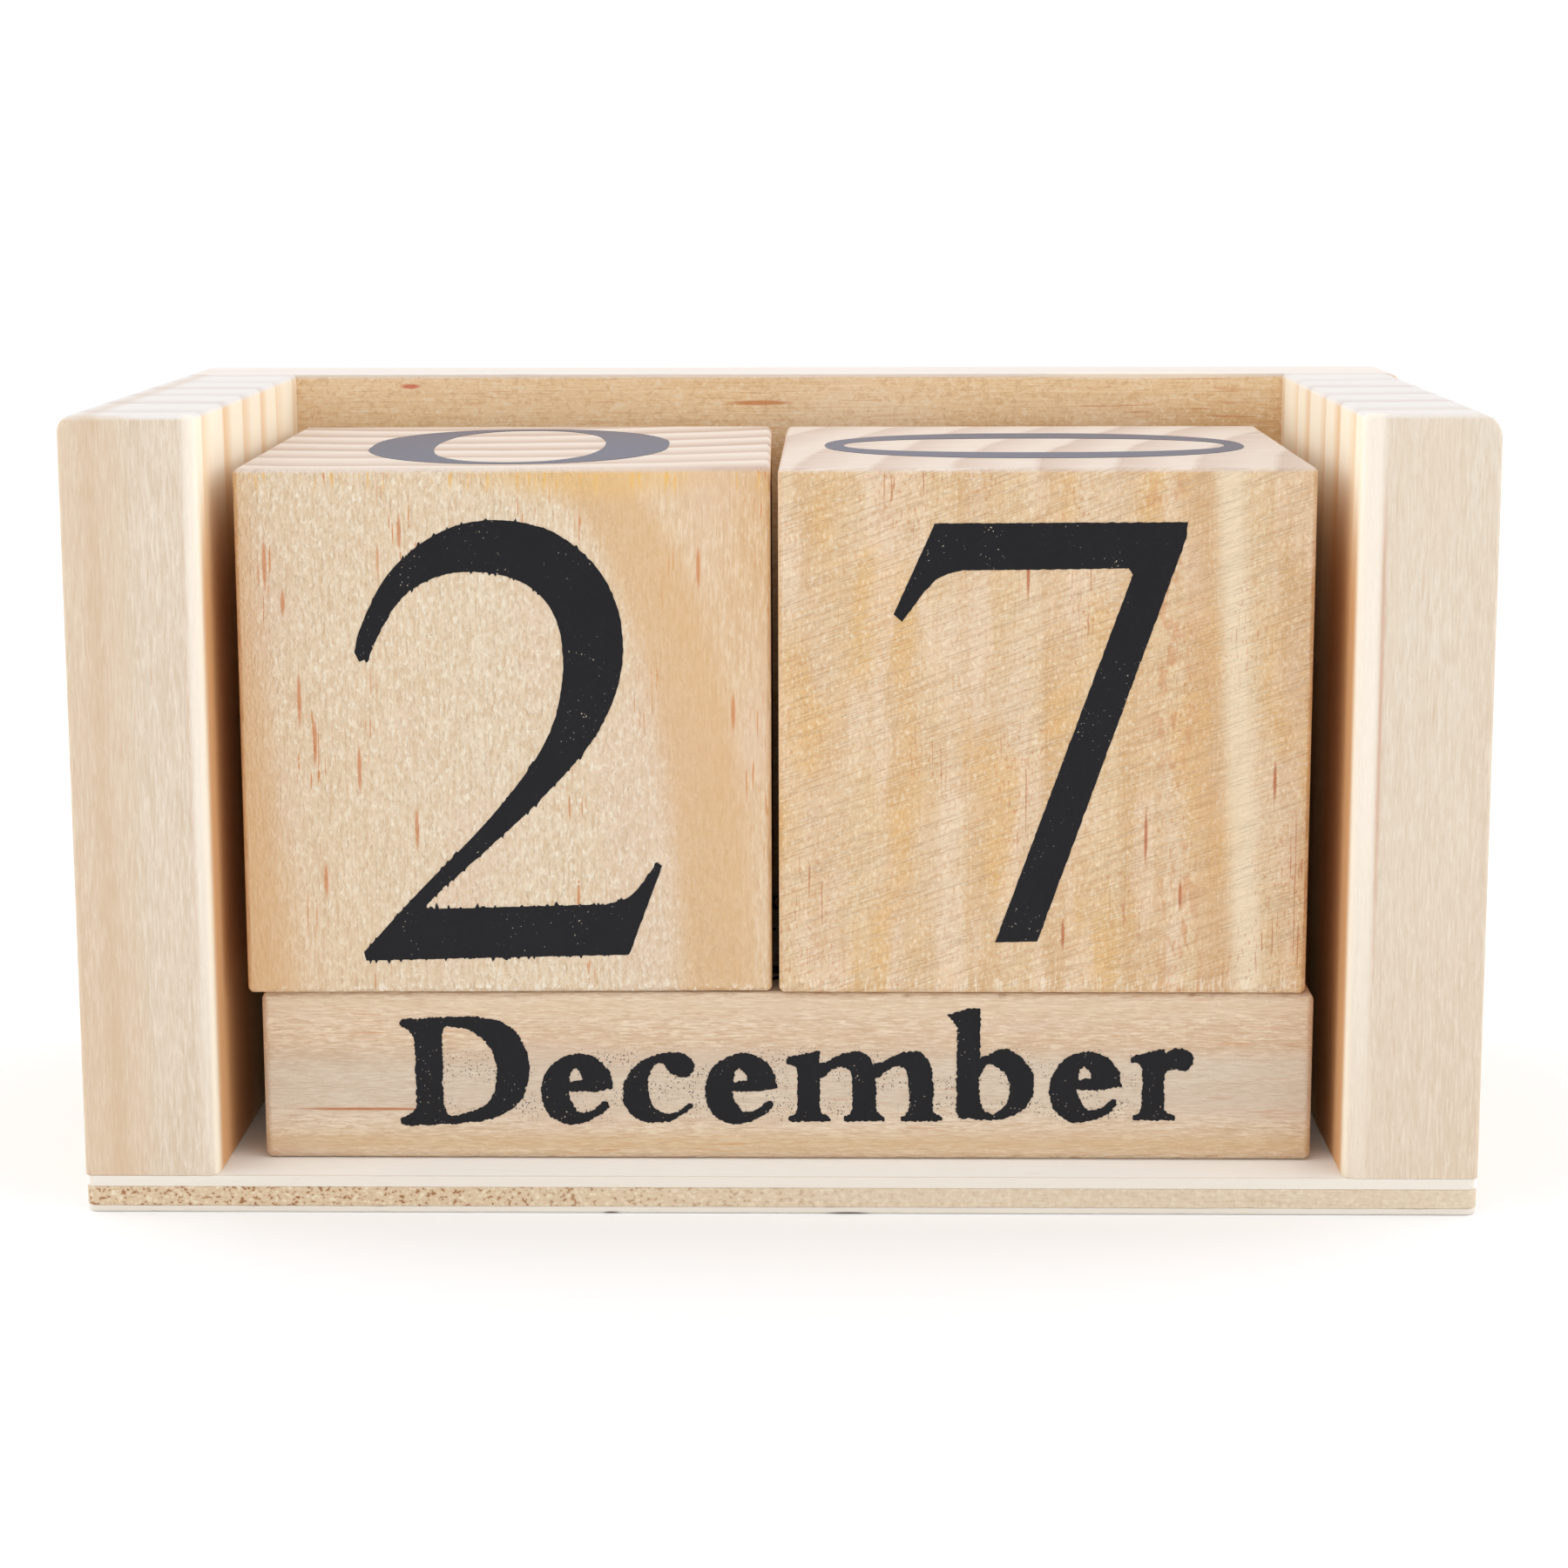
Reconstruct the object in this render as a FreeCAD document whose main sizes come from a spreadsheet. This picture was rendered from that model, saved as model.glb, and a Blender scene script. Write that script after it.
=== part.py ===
"""Perpetual desk calendar: an open wooden case that holds two number cubes on three month bars.

Millimetres. X runs along the front, Y from front to back, Z up. The origin is the middle of the underside.
The base is three-ply board. Two sides stand on it and butt against a back board as wide as the case. Brads
driven from below and from behind hold the boards together. The cubes and the bars are loose: the three bars
lie side by side on the base, and the cubes stand on the bars.
"""

import FreeCAD
import Part
import Sketcher

import os
import re

DRIVING = [
    # alias, value, what it is
    ("cube_size", 50.0, "edge of a number cube"),
    ("cube_round", 0.6, "rounding of a cube's edges"),
    ("cube_gap", 0.6, "gap between the two cubes, where they are nearest"),
    ("cube_shift", -0.4, "from the middle of the case to the gap between the cubes, along X"),
    ("cube_setback", 5.5, "from the front of the case to a cube that stands straight"),
    ("tens_cube_turn", 1.1, "how far the tens cube is turned about Z, in degrees"),
    ("bar_section", 16.5, "height and depth of a month bar"),
    ("bar_round", 0.8, "rounding of a bar's edges"),
    ("bar_short", 0.2, "how much shorter a bar is than the two cubes with their gap"),
    ("bar_gap", 0.15, "gap between neighbouring bars"),
    ("bar_setback", 5.8, "from the front of the case to the front bar"),
    ("front_bar_shift", 0.6, "from the middle of the case to the middle of the front bar, along X"),
    ("middle_bar_shift", -0.4, "the same for the middle bar"),
    ("rear_bar_shift", 0.3, "the same for the rear bar"),
    ("side_play", 2.75, "room beside the cubes, at each side"),
    ("rear_play", 3.7, "room behind the cubes or the bars, whichever reach further back"),
    ("rim", 5.3, "how far the boards stand above the cubes"),
    ("side_thick", 12.7, "thickness of a side"),
    ("back_thick", 12.7, "thickness of the back"),
    ("board_ease", 0.5, "rounding of the boards' free edges"),
    ("inner_front_round", 1.0, "rounding of a side's inner front edge"),
    ("outer_top_round", 1.5, "rounding of the case's upper left and upper right edges"),
    ("face_ply", 1.05, "thickness of the base's upper ply"),
    ("core_ply", 1.85, "thickness of the base's core"),
    ("lower_ply", 0.7, "thickness of the base's lower ply"),
    ("base_round", 1.0, "rounding of the base's corners and lower edges"),
    ("brad_width", 1.2, "width of a brad's shank"),
    ("brad_thick", 1.0, "thickness of a brad's shank and head"),
    ("brad_head", 2.0, "width of a brad's head"),
    ("brad_head_height", 0.6, "height of a brad's head"),
    ("brad_point", 1.5, "length of a brad's chisel point"),
    ("brad_edge", 0.25, "thickness of the chisel point at its tip"),
    ("brad_set", 0.3, "how deep a brad's head is set below the surface"),
    ("base_brad", 18.0, "length of a brad through the base"),
    ("back_brad", 25.0, "length of a brad through the back"),
    ("brad_inset", 13.0, "from the end of a joint to its nearest brad"),
    ("brad_apart", 5.0, "from the tips of the base's brads up to the back's brads above them"),
]

WORKED_OUT = [
    # alias, formula, what it is
    ("turned_half", "cube_size / 2 * (cos(tens_cube_turn) + sin(tens_cube_turn))", "half the tens cube's reach"),
    ("pair_width", "2 * cube_size + cube_gap", "the two cubes with their gap"),
    ("bar_length", "pair_width - bar_short", "length of a month bar"),
    ("bar_pitch", "bar_section + bar_gap", "from one bar to the next"),
    ("bars_back", "bar_setback + 2 * bar_pitch + bar_section", "how far back the bars reach"),
    ("cubes_back", "cube_setback + cube_size", "how far back the cubes reach"),
    ("side_depth", "max(bars_back; cubes_back) + rear_play", "depth of a side, up to the back"),
    ("case_depth", "side_depth + back_thick", "overall depth"),
    ("case_width", "pair_width + 2 * side_play + 2 * side_thick", "overall width"),
    ("base_thick", "face_ply + core_ply + lower_ply", "thickness of the base"),
    ("cube_foot", "base_thick + bar_section", "height at which the cubes stand"),
    ("board_height", "bar_section + cube_size + rim", "height of the sides and the back"),
    ("case_front", "-case_depth / 2", "the front of the case, along Y"),
    ("side_middle", "case_width / 2 - side_thick / 2", "the middle of a side's thickness, along X"),
    ("back_middle", "case_depth / 2 - back_thick / 2", "the middle of the back's thickness, along Y"),
]

ALIASES = {alias for alias, _, _ in DRIVING + WORKED_OUT}


def make_sheet(doc):
    """The spreadsheet: the driving sizes as numbers, then what is worked out from them."""
    sheet = doc.addObject("Spreadsheet::Sheet", "Sizes")
    rows = [(alias, str(value), note) for alias, value, note in DRIVING]
    rows += [(alias, "=" + text, note) for alias, text, note in WORKED_OUT]
    for row, (alias, content, note) in enumerate(rows, 1):
        sheet.set(f"A{row}", alias)
        sheet.set(f"B{row}", content)
        sheet.set(f"C{row}", note)
        sheet.setAlias(f"B{row}", alias)
    doc.recompute()


def in_sheet(text):
    """A formula in the sheet's aliases, the way an object outside the sheet writes it."""
    return re.sub("[a-z_]+", lambda word: ("Sizes." if word[0] in ALIASES else "") + word[0], text)


def bind(thing, **formulas):
    """Ties an object's properties to formulas."""
    for name, text in formulas.items():
        thing.setExpression(name, in_sheet(text))


def place(thing, x, y, z):
    """Ties an object's place to three formulas."""
    for letter, text in zip("xyz", (x, y, z)):
        thing.setExpression("Placement.Base." + letter, in_sheet(text))


def rectangle(body, width, depth):
    """A sketch on the body's XY plane: a rectangle about the origin, its sizes tied to formulas."""
    sketch = body.newObject("Sketcher::SketchObject", body.Name + "_outline")
    plane = next(feature for feature in body.Origin.OriginFeatures if feature.Role == "XY_Plane")
    sketch.AttachmentSupport = [(plane, "")]
    sketch.MapMode = "FlatFace"
    corners = [FreeCAD.Vector(x, y, 0) for x, y in ((-1, -1), (1, -1), (1, 1), (-1, 1))]
    for number, corner in enumerate(corners):
        sketch.addGeometry(Part.LineSegment(corner, corners[(number + 1) % 4]), False)
    for number, direction in enumerate(("Horizontal", "Vertical", "Horizontal", "Vertical")):
        sketch.addConstraint(Sketcher.Constraint("Coincident", number, 2, (number + 1) % 4, 1))
        sketch.addConstraint(Sketcher.Constraint(direction, number))
    sketch.addConstraint(Sketcher.Constraint("Symmetric", 0, 1, 1, 2, -1, 1))
    for name, line, text in (("width", 0, width), ("depth", 1, depth)):
        number = sketch.addConstraint(Sketcher.Constraint("Distance", line, 2))
        sketch.renameConstraint(number, name)
        sketch.setExpression("Constraints." + name, in_sheet(text))
    return sketch


def block(doc, name, width, depth, height):
    """A body with one pad: a block that stands on the body's XY plane, about its Z axis."""
    body = doc.addObject("PartDesign::Body", name)
    sketch = rectangle(body, width, depth)
    pad = body.newObject("PartDesign::Pad", name + "_pad")
    pad.Profile = sketch
    bind(pad, Length=height)
    doc.recompute()
    return body


def faces_at(box, point):
    """Which faces of a block a point lies on."""
    gaps = {
        "left": point.x - box.XMin,
        "right": box.XMax - point.x,
        "front": point.y - box.YMin,
        "rear": box.YMax - point.y,
        "bottom": point.z - box.ZMin,
        "top": box.ZMax - point.z,
    }
    return {name for name, gap in gaps.items() if abs(gap) < 0.001}


def round_edges(doc, body, name, radius, corners):
    """Rounds a block's edges. Each corner names the two faces that meet in it."""
    pad = next(feature for feature in body.Group if feature.TypeId == "PartDesign::Pad")
    box, last = pad.Shape.BoundBox, body.Tip
    found = []
    for number, edge in enumerate(last.Shape.Edges, 1):
        shared = set.intersection(*(faces_at(box, vertex.Point) for vertex in edge.Vertexes))
        if any(shared.issuperset(corner) for corner in corners):
            found.append(f"Edge{number}")
    rounding = body.newObject("PartDesign::Fillet", f"{body.Name}_{name}")
    rounding.Base = (last, found)
    bind(rounding, Radius=radius)
    doc.recompute()


def all_corners():
    """Every pair of faces that meet in an edge of a block."""
    upright = [(side, end) for side in ("left", "right") for end in ("front", "rear")]
    level = [(face, side) for face in ("bottom", "top") for side in ("left", "right", "front", "rear")]
    return upright + level


def primitive(doc, kind, name, corner, **lengths):
    """A primitive solid whose sizes and place are tied to formulas."""
    solid = doc.addObject(kind, name)
    bind(solid, **lengths)
    place(solid, *corner)
    return solid


def make_brad(doc, name, length, spot, from_behind):
    """One brad with its head's outer face at the spot. It points up, or forwards if driven from behind."""
    head = primitive(
        doc,
        "Part::Box",
        name + "_head",
        ("-brad_head / 2", "-brad_thick / 2", "0"),
        Length="brad_head",
        Width="brad_thick",
        Height="brad_head_height",
    )
    shank = primitive(
        doc,
        "Part::Box",
        name + "_shank",
        ("-brad_width / 2", "-brad_thick / 2", "brad_head_height"),
        Length="brad_width",
        Width="brad_thick",
        Height=f"{length} - brad_head_height - brad_point",
    )
    point = primitive(
        doc,
        "Part::Wedge",
        name + "_point",
        ("0", "0", f"{length} - brad_point"),
        Xmin="-brad_width / 2",
        Xmax="brad_width / 2",
        X2min="-brad_width / 2",
        X2max="brad_width / 2",
        Ymin="0",
        Ymax="brad_point",
        Zmin="-brad_thick / 2",
        Zmax="brad_thick / 2",
        Z2min="-brad_edge / 2",
        Z2max="brad_edge / 2",
    )
    quarter_turn = FreeCAD.Rotation(FreeCAD.Vector(1, 0, 0), 90)
    point.Placement.Rotation = quarter_turn
    brad = doc.addObject("Part::MultiFuse", name)
    brad.Shapes = [head, shank, point]
    if from_behind:
        brad.Placement.Rotation = quarter_turn
    place(brad, *spot)
    return brad


def make_brads(doc, name, length, spots, from_behind=False):
    """A group of brads, one at each spot."""
    group = doc.addObject("Part::Compound", name)
    group.Links = [
        make_brad(doc, f"{name}_{number}", length, spot, from_behind) for number, spot in enumerate(spots, 1)
    ]
    return group


def make_fasteners(doc):
    """All the brads: up through the base into the sides and the back, and through the back into the sides."""
    along_side = ("case_front + brad_inset", "case_front + side_depth - brad_inset")
    up_side = ("brad_set + base_brad + brad_apart", "base_thick + board_height - brad_inset")
    along_back = ("side_thick + brad_inset - case_width / 2", "0", "case_width / 2 - side_thick - brad_inset")
    groups = {}
    for hand, side_x in (("left", "-side_middle"), ("right", "side_middle")):
        under = [(side_x, y, "brad_set") for y in along_side]
        behind = [(side_x, "case_depth / 2 - brad_set", z) for z in up_side]
        groups["base_brads_" + hand] = make_brads(doc, "base_brads_" + hand, "base_brad", under)
        groups["back_brads_" + hand] = make_brads(doc, "back_brads_" + hand, "back_brad", behind, True)
    under = [(x, "back_middle", "brad_set") for x in along_back]
    groups["base_brads_rear"] = make_brads(doc, "base_brads_rear", "base_brad", under)
    doc.recompute()
    return groups


def drive_in(doc, name, wood, brads):
    """The wood as a named piece, with the room that groups of brads take up in it cut away."""
    for number, group in enumerate(brads, 1):
        cut = doc.addObject("Part::Cut", name if number == len(brads) else f"{name}_cut_{number}")
        cut.Base = wood
        cut.Tool = group
        wood = cut
    doc.recompute()
    return wood


def make_base(doc, brads):
    """The three plies, sliced from one board with rounded corners and lower edges."""
    board = block(doc, "base_board", "case_width", "case_depth", "base_thick")
    corners = [corner for corner in all_corners() if "top" not in corner]
    round_edges(doc, board, "corners", "base_round", [corner for corner in corners if "bottom" not in corner])
    round_edges(doc, board, "lower_edges", "base_round", [corner for corner in corners if "bottom" in corner])
    plies = {}
    layers = (
        ("base_lower_ply", "0", "lower_ply"),
        ("base_core_ply", "lower_ply", "core_ply"),
        ("base_face_ply", "lower_ply + core_ply", "face_ply"),
    )
    for name, bottom, thickness in layers:
        corner = ("-case_width / 2", "-case_depth / 2", bottom)
        sheet_sizes = {"Length": "case_width", "Width": "case_depth", "Height": thickness}
        layer = primitive(doc, "Part::Box", name + "_layer", corner, **sheet_sizes)
        sliced = doc.addObject("Part::Common", name + "_sliced")
        sliced.Base = board
        sliced.Tool = layer
        plies[name] = drive_in(doc, name, sliced, brads)
    return plies


def make_side(doc, name, outer, inner, side_x, brads):
    """A side, on the base and in front of the back. outer and inner are its faces, left and right."""
    board = block(doc, name + "_board", "side_thick", "side_depth", "board_height")
    round_edges(doc, board, "outer_top", "outer_top_round", [(outer, "top")])
    round_edges(doc, board, "inner_front", "inner_front_round", [(inner, "front")])
    round_edges(doc, board, "free_edges", "board_ease", [(outer, "front"), ("front", "top"), (inner, "top")])
    place(board, side_x, "case_front + side_depth / 2", "base_thick")
    return drive_in(doc, name, board, brads)


def make_back(doc, brads):
    """The back, on the base and behind both sides."""
    board = block(doc, "back_panel_board", "case_width", "back_thick", "board_height")
    round_edges(doc, board, "outer_top", "outer_top_round", [("left", "top"), ("right", "top")])
    round_edges(doc, board, "free_edges", "board_ease", [("left", "rear"), ("rear", "top"), ("right", "rear")])
    place(board, "0", "back_middle", "base_thick")
    return drive_in(doc, "back_panel", board, brads)


def make_cubes(doc):
    """The two number cubes, side by side on the bars. The tens cube is turned a little."""
    spots = (
        ("tens_cube", "cube_shift - cube_gap / 2 - turned_half", "tens_cube_turn"),
        ("units_cube", "cube_shift + cube_gap / 2 + cube_size / 2", "0"),
    )
    cubes = {}
    for name, x, turn in spots:
        cube = block(doc, name, "cube_size", "cube_size", "cube_size")
        round_edges(doc, cube, "edges", "cube_round", all_corners())
        cube.Placement.Rotation = FreeCAD.Rotation(FreeCAD.Vector(0, 0, 1), 1)
        bind(cube, **{"Placement.Rotation.Angle": turn})
        place(cube, x, "case_front + cube_setback + cube_size / 2", "cube_foot")
        cubes[name] = cube
    return cubes


def make_bars(doc):
    """The three month bars, side by side on the base."""
    bars = {}
    for number, row in enumerate(("front", "middle", "rear")):
        bar = block(doc, row + "_month_bar", "bar_length", "bar_section", "bar_section")
        round_edges(doc, bar, "edges", "bar_round", all_corners())
        y = f"case_front + bar_setback + bar_section / 2 + {number} * bar_pitch"
        place(bar, row + "_bar_shift", y, "base_thick")
        bars[bar.Name] = bar
    return bars


def make_calendar(doc):
    """Every piece of the calendar, by its name."""
    make_sheet(doc)
    pieces = make_fasteners(doc)
    under_left, under_right = pieces["base_brads_left"], pieces["base_brads_right"]
    behind_left, behind_right = pieces["back_brads_left"], pieces["back_brads_right"]
    under_rear = pieces["base_brads_rear"]
    pieces.update(make_base(doc, [under_left, under_right, under_rear]))
    pieces["left_side"] = make_side(
        doc, "left_side", "left", "right", "-side_middle", [under_left, behind_left]
    )
    pieces["right_side"] = make_side(
        doc, "right_side", "right", "left", "side_middle", [under_right, behind_right]
    )
    pieces["back_panel"] = make_back(doc, [under_rear, behind_left, behind_right])
    pieces.update(make_cubes(doc))
    pieces.update(make_bars(doc))
    doc.recompute()
    return pieces


def check(doc, pieces):
    """Stops if an object of the document failed, or a piece is empty, not valid or not solid."""
    for thing in doc.Objects:
        if {"Invalid", "Error"} & set(thing.State):
            raise RuntimeError(f"{thing.Label} failed: {thing.State}")
    for name, piece in pieces.items():
        shape = piece.Shape
        if shape.isNull() or not shape.isValid() or not shape.Solids:
            raise RuntimeError(f"{name} has no valid solid")


def write(pieces):
    """Writes each piece to its own file, and prints where it lies."""
    os.makedirs("parts", exist_ok=True)
    for name, piece in pieces.items():
        piece.Label = name
        piece.Shape.exportStep(os.path.join("parts", name + ".step"))
        box = piece.Shape.BoundBox
        print(
            f"{name:18} {len(piece.Shape.Solids)} solid(s)"
            f"  X {box.XMin:7.2f} {box.XMax:7.2f}  Y {box.YMin:7.2f} {box.YMax:7.2f}"
            f"  Z {box.ZMin:7.2f} {box.ZMax:7.2f}"
        )


document = FreeCAD.newDocument("desk_calendar")
calendar = make_calendar(document)
check(document, calendar)
write(calendar)
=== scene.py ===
"""Perpetual desk calendar of bare pine: the finish of every board, cube and month bar, and the printed ink.

Metres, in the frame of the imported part: X along the front, Y from front to back, Z up. Sizes that belong to
the printing and to the finishes are given in millimetres and multiplied by MM where they become geometry.
"""

import math

import bmesh
import bpy
from mathutils import Matrix, Vector, noise
from mathutils.geometry import delaunay_2d_cdt
from mathutils.kdtree import KDTree


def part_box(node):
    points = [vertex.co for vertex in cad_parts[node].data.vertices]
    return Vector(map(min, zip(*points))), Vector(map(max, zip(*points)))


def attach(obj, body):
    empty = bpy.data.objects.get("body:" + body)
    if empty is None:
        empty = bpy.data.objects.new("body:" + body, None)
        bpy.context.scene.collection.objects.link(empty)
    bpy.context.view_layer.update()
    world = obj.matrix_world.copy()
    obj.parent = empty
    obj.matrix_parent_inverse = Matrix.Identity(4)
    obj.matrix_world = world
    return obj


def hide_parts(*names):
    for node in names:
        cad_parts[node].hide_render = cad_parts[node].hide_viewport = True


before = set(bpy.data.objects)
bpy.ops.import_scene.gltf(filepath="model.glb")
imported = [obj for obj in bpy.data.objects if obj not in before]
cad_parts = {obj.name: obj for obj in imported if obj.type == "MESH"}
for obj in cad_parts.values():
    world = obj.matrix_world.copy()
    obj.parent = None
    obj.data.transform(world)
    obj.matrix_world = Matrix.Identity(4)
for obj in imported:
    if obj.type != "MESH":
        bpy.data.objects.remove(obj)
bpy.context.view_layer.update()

MM = 0.001

# ---------------------------------------------------------------- wood as geometry

SIDES = {"left": (0, 0), "right": (0, 1), "front": (1, 0), "rear": (1, 1), "bottom": (2, 0), "top": (2, 1)}
ON_FACE = 1e-6    # a point this near a face lies on it
SHARP = math.radians(40)    # an edge whose faces turn by less is already rounded
SMALL_ROUND = 0.2 * MM    # a smaller rounding has fewer segments
END_CLEAR = 1.6 * MM    # how far the cuts that give room for wear stay from a block's rounded ends
FLAT_SLOPE = 0.01    # below this, a spot lies on a flat face and stays whole
FULL_SLOPE = 0.25    # from this on, a chip has its full depth
CHIP_FROM = 0.15    # noise below this leaves an edge whole
HEAD_DEPTH = 0.02 * MM    # how flat a brad's head is
HEAD_REACH = 4 * MM    # spots closer than this belong to the same head
HEAD_ROOM = 0.06 * MM    # between a brad's head and the wood that it was driven into
FLAT_NORMAL = 0.9999    # a face that points along an axis more closely than this is flat


def sides_at(point, low, high):
    """Which sides of a block a point lies on."""
    ends = (low, high)
    return {name for name, (axis, end) in SIDES.items() if abs(point[axis] - ends[end][axis]) < ON_FACE}


def block(low, high, rounds, steps):
    """A block from low to high. rounds is pairs of a radius and a test of the sides that an edge lies on, and
    steps is how far apart the cuts lie along each axis that give the surface room for wear."""
    bm = bmesh.new()
    bmesh.ops.create_cube(bm, size=1)
    bmesh.ops.scale(bm, vec=high - low, verts=bm.verts)
    bmesh.ops.translate(bm, vec=(low + high) / 2, verts=bm.verts)
    for radius, wanted in rounds:
        edges = [
            edge
            for edge in bm.edges
            if edge.calc_face_angle() > SHARP
            and wanted(sides_at(edge.verts[0].co, low, high) & sides_at(edge.verts[1].co, low, high))
        ]
        bmesh.ops.bevel(
            bm, geom=edges, offset=radius, offset_type="OFFSET", segments=2 if radius < SMALL_ROUND else 5,
            profile=0.5, affect="EDGES", clamp_overlap=True, material=-1,
        )
    for axis, step in enumerate(steps):
        if step:
            slice_along(bm, axis, low[axis], high[axis], step)
    return bm


def slice_along(bm, axis, start, end, step):
    """Cuts a bmesh by planes across an axis, about a step apart, clear of its rounded ends."""
    length = end - start - 2 * END_CLEAR
    count = max(1, round(length / step))
    for number in range(count + 1):
        cut_across(bm, axis, start + END_CLEAR + length * number / count)


def cut_across(bm, axis, place):
    """Cuts a bmesh by a plane across an axis."""
    normal = Vector((0, 0, 0))
    normal[axis] = 1
    everything = bm.verts[:] + bm.edges[:] + bm.faces[:]
    bmesh.ops.bisect_plane(bm, geom=everything, dist=1e-7, plane_co=normal * place, plane_no=normal)


def wear(bm, depth, size, seed):
    """Presses chips and dents into the rounded edges. size is how long a chip is, in metres."""
    bm.normal_update()
    normals = {vert: vert.normal.copy() for vert in bm.verts}
    for vert, normal in normals.items():
        slope = 1 - max(abs(value) for value in normal)
        if slope < FLAT_SLOPE:
            continue
        place = vert.co / size + Vector((seed, 0, 0))
        chip = max(0.0, noise.noise(place) - CHIP_FROM)
        dent = 0.12 * (noise.noise(place * 4) + 0.6)
        vert.co -= normal * min(1.0, slope / FULL_SLOPE) * depth * max(0.0, chip + dent)


def recess(bm, axis, outward, surface, hollows):
    """Sinks rectangles into a flat side that faces along an axis. hollows is pairs of a rectangle's low and
    high corners, and reaches from the surface to how deep it goes."""
    across = [other for other in range(3) if other != axis]
    for low, high in hollows:
        for other in across:
            for place in (low[other], high[other]):
                cut_across(bm, other, place)
        floor = [
            face
            for face in bm.faces
            if abs(face.calc_center_median()[axis] - surface) < ON_FACE
            and all(low[other] < face.calc_center_median()[other] < high[other] for other in across)
        ]
        sunk = corners_in(bmesh.ops.extrude_face_region(bm, geom=floor))
        inward = Vector((0, 0, 0))
        inward[axis] = -outward * max(abs(low[axis] - surface), abs(high[axis] - surface))
        bmesh.ops.translate(bm, vec=inward, verts=sunk)
        bmesh.ops.delete(bm, geom=floor, context="FACES")


def corners_in(extruded):
    """The new corners that an extrusion made."""
    return [part for part in extruded["geom"] if isinstance(part, bmesh.types.BMVert)]


def heads_of(node, axis, outward):
    """The hollows over the heads of a node's brads: pairs of low and high corners, with a little room."""
    spots = [node.matrix_world @ vert.co for vert in node.data.vertices]
    outer = max(spot[axis] * outward for spot in spots)
    ends = [spot for spot in spots if spot[axis] * outward > outer - HEAD_DEPTH]
    ends.sort(key=tuple)
    groups = []
    for spot in ends:
        near = next((group for group in groups if (group[0] - spot).length < HEAD_REACH), None)
        if near:
            near.append(spot)
        else:
            groups.append([spot])
    room = Vector((HEAD_ROOM, HEAD_ROOM, HEAD_ROOM))
    hollows = []
    for group in groups:
        low = Vector([min(spot[k] for spot in group) for k in range(3)])
        high = Vector([max(spot[k] for spot in group) for k in range(3)])
        hollows.append((low - room, high + room))
    return hollows


def smooth_rounds(bm):
    """Shades the rounded faces smooth and leaves the flat ones flat."""
    bm.normal_update()
    for face in bm.faces:
        face.smooth = max(abs(value) for value in face.normal) < FLAT_NORMAL


def piece(name, bm, body, finish, slot, *nodes):
    """Makes a named piece of the calendar from a bmesh, puts it on the body that it rides on, and hides any
    CAD nodes that it takes the place of.
    """
    mesh = bpy.data.meshes.new(name)
    bm.to_mesh(mesh)
    bm.free()
    thing = bpy.data.objects.new(name, mesh)
    bpy.context.scene.collection.objects.link(thing)
    mesh.materials.append(finish)
    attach(thing, body)
    if nodes:
        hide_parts(*nodes)


# ---------------------------------------------------------------- finishes

WOOD_ROUGHNESS, WOOD_SHINE = 0.62, 0.35    # of bare sawn pine


def colour(red, green, blue):
    """A colour as it is seen on a screen, 0 to 255, made linear."""
    def linear(value):
        value /= 255
        return value / 12.92 if value <= 0.04045 else ((value + 0.055) / 1.055) ** 2.4
    return (linear(red), linear(green), linear(blue), 1)


class Nodes:
    """A node tree, built up step by step."""

    def __init__(self, tree):
        self.tree = tree

    def put(self, socket, value):
        """Links a socket to a value that is worked out, or sets it to a plain one."""
        if isinstance(value, bpy.types.NodeSocket):
            self.tree.links.new(value, socket)
        else:
            socket.default_value = value

    def make(self, kind, inputs=None, **settings):
        node = self.tree.nodes.new("ShaderNode" + kind)
        for name, value in settings.items():
            setattr(node, name, value)
        for key, value in (inputs or {}).items():
            self.put(node.inputs[key], value)
        return node

    def math(self, operation, *values):
        return self.make("Math", dict(enumerate(values)), operation=operation).outputs[0]

    def parts(self, place):
        return self.make("SeparateXYZ", {0: place}).outputs


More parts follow.
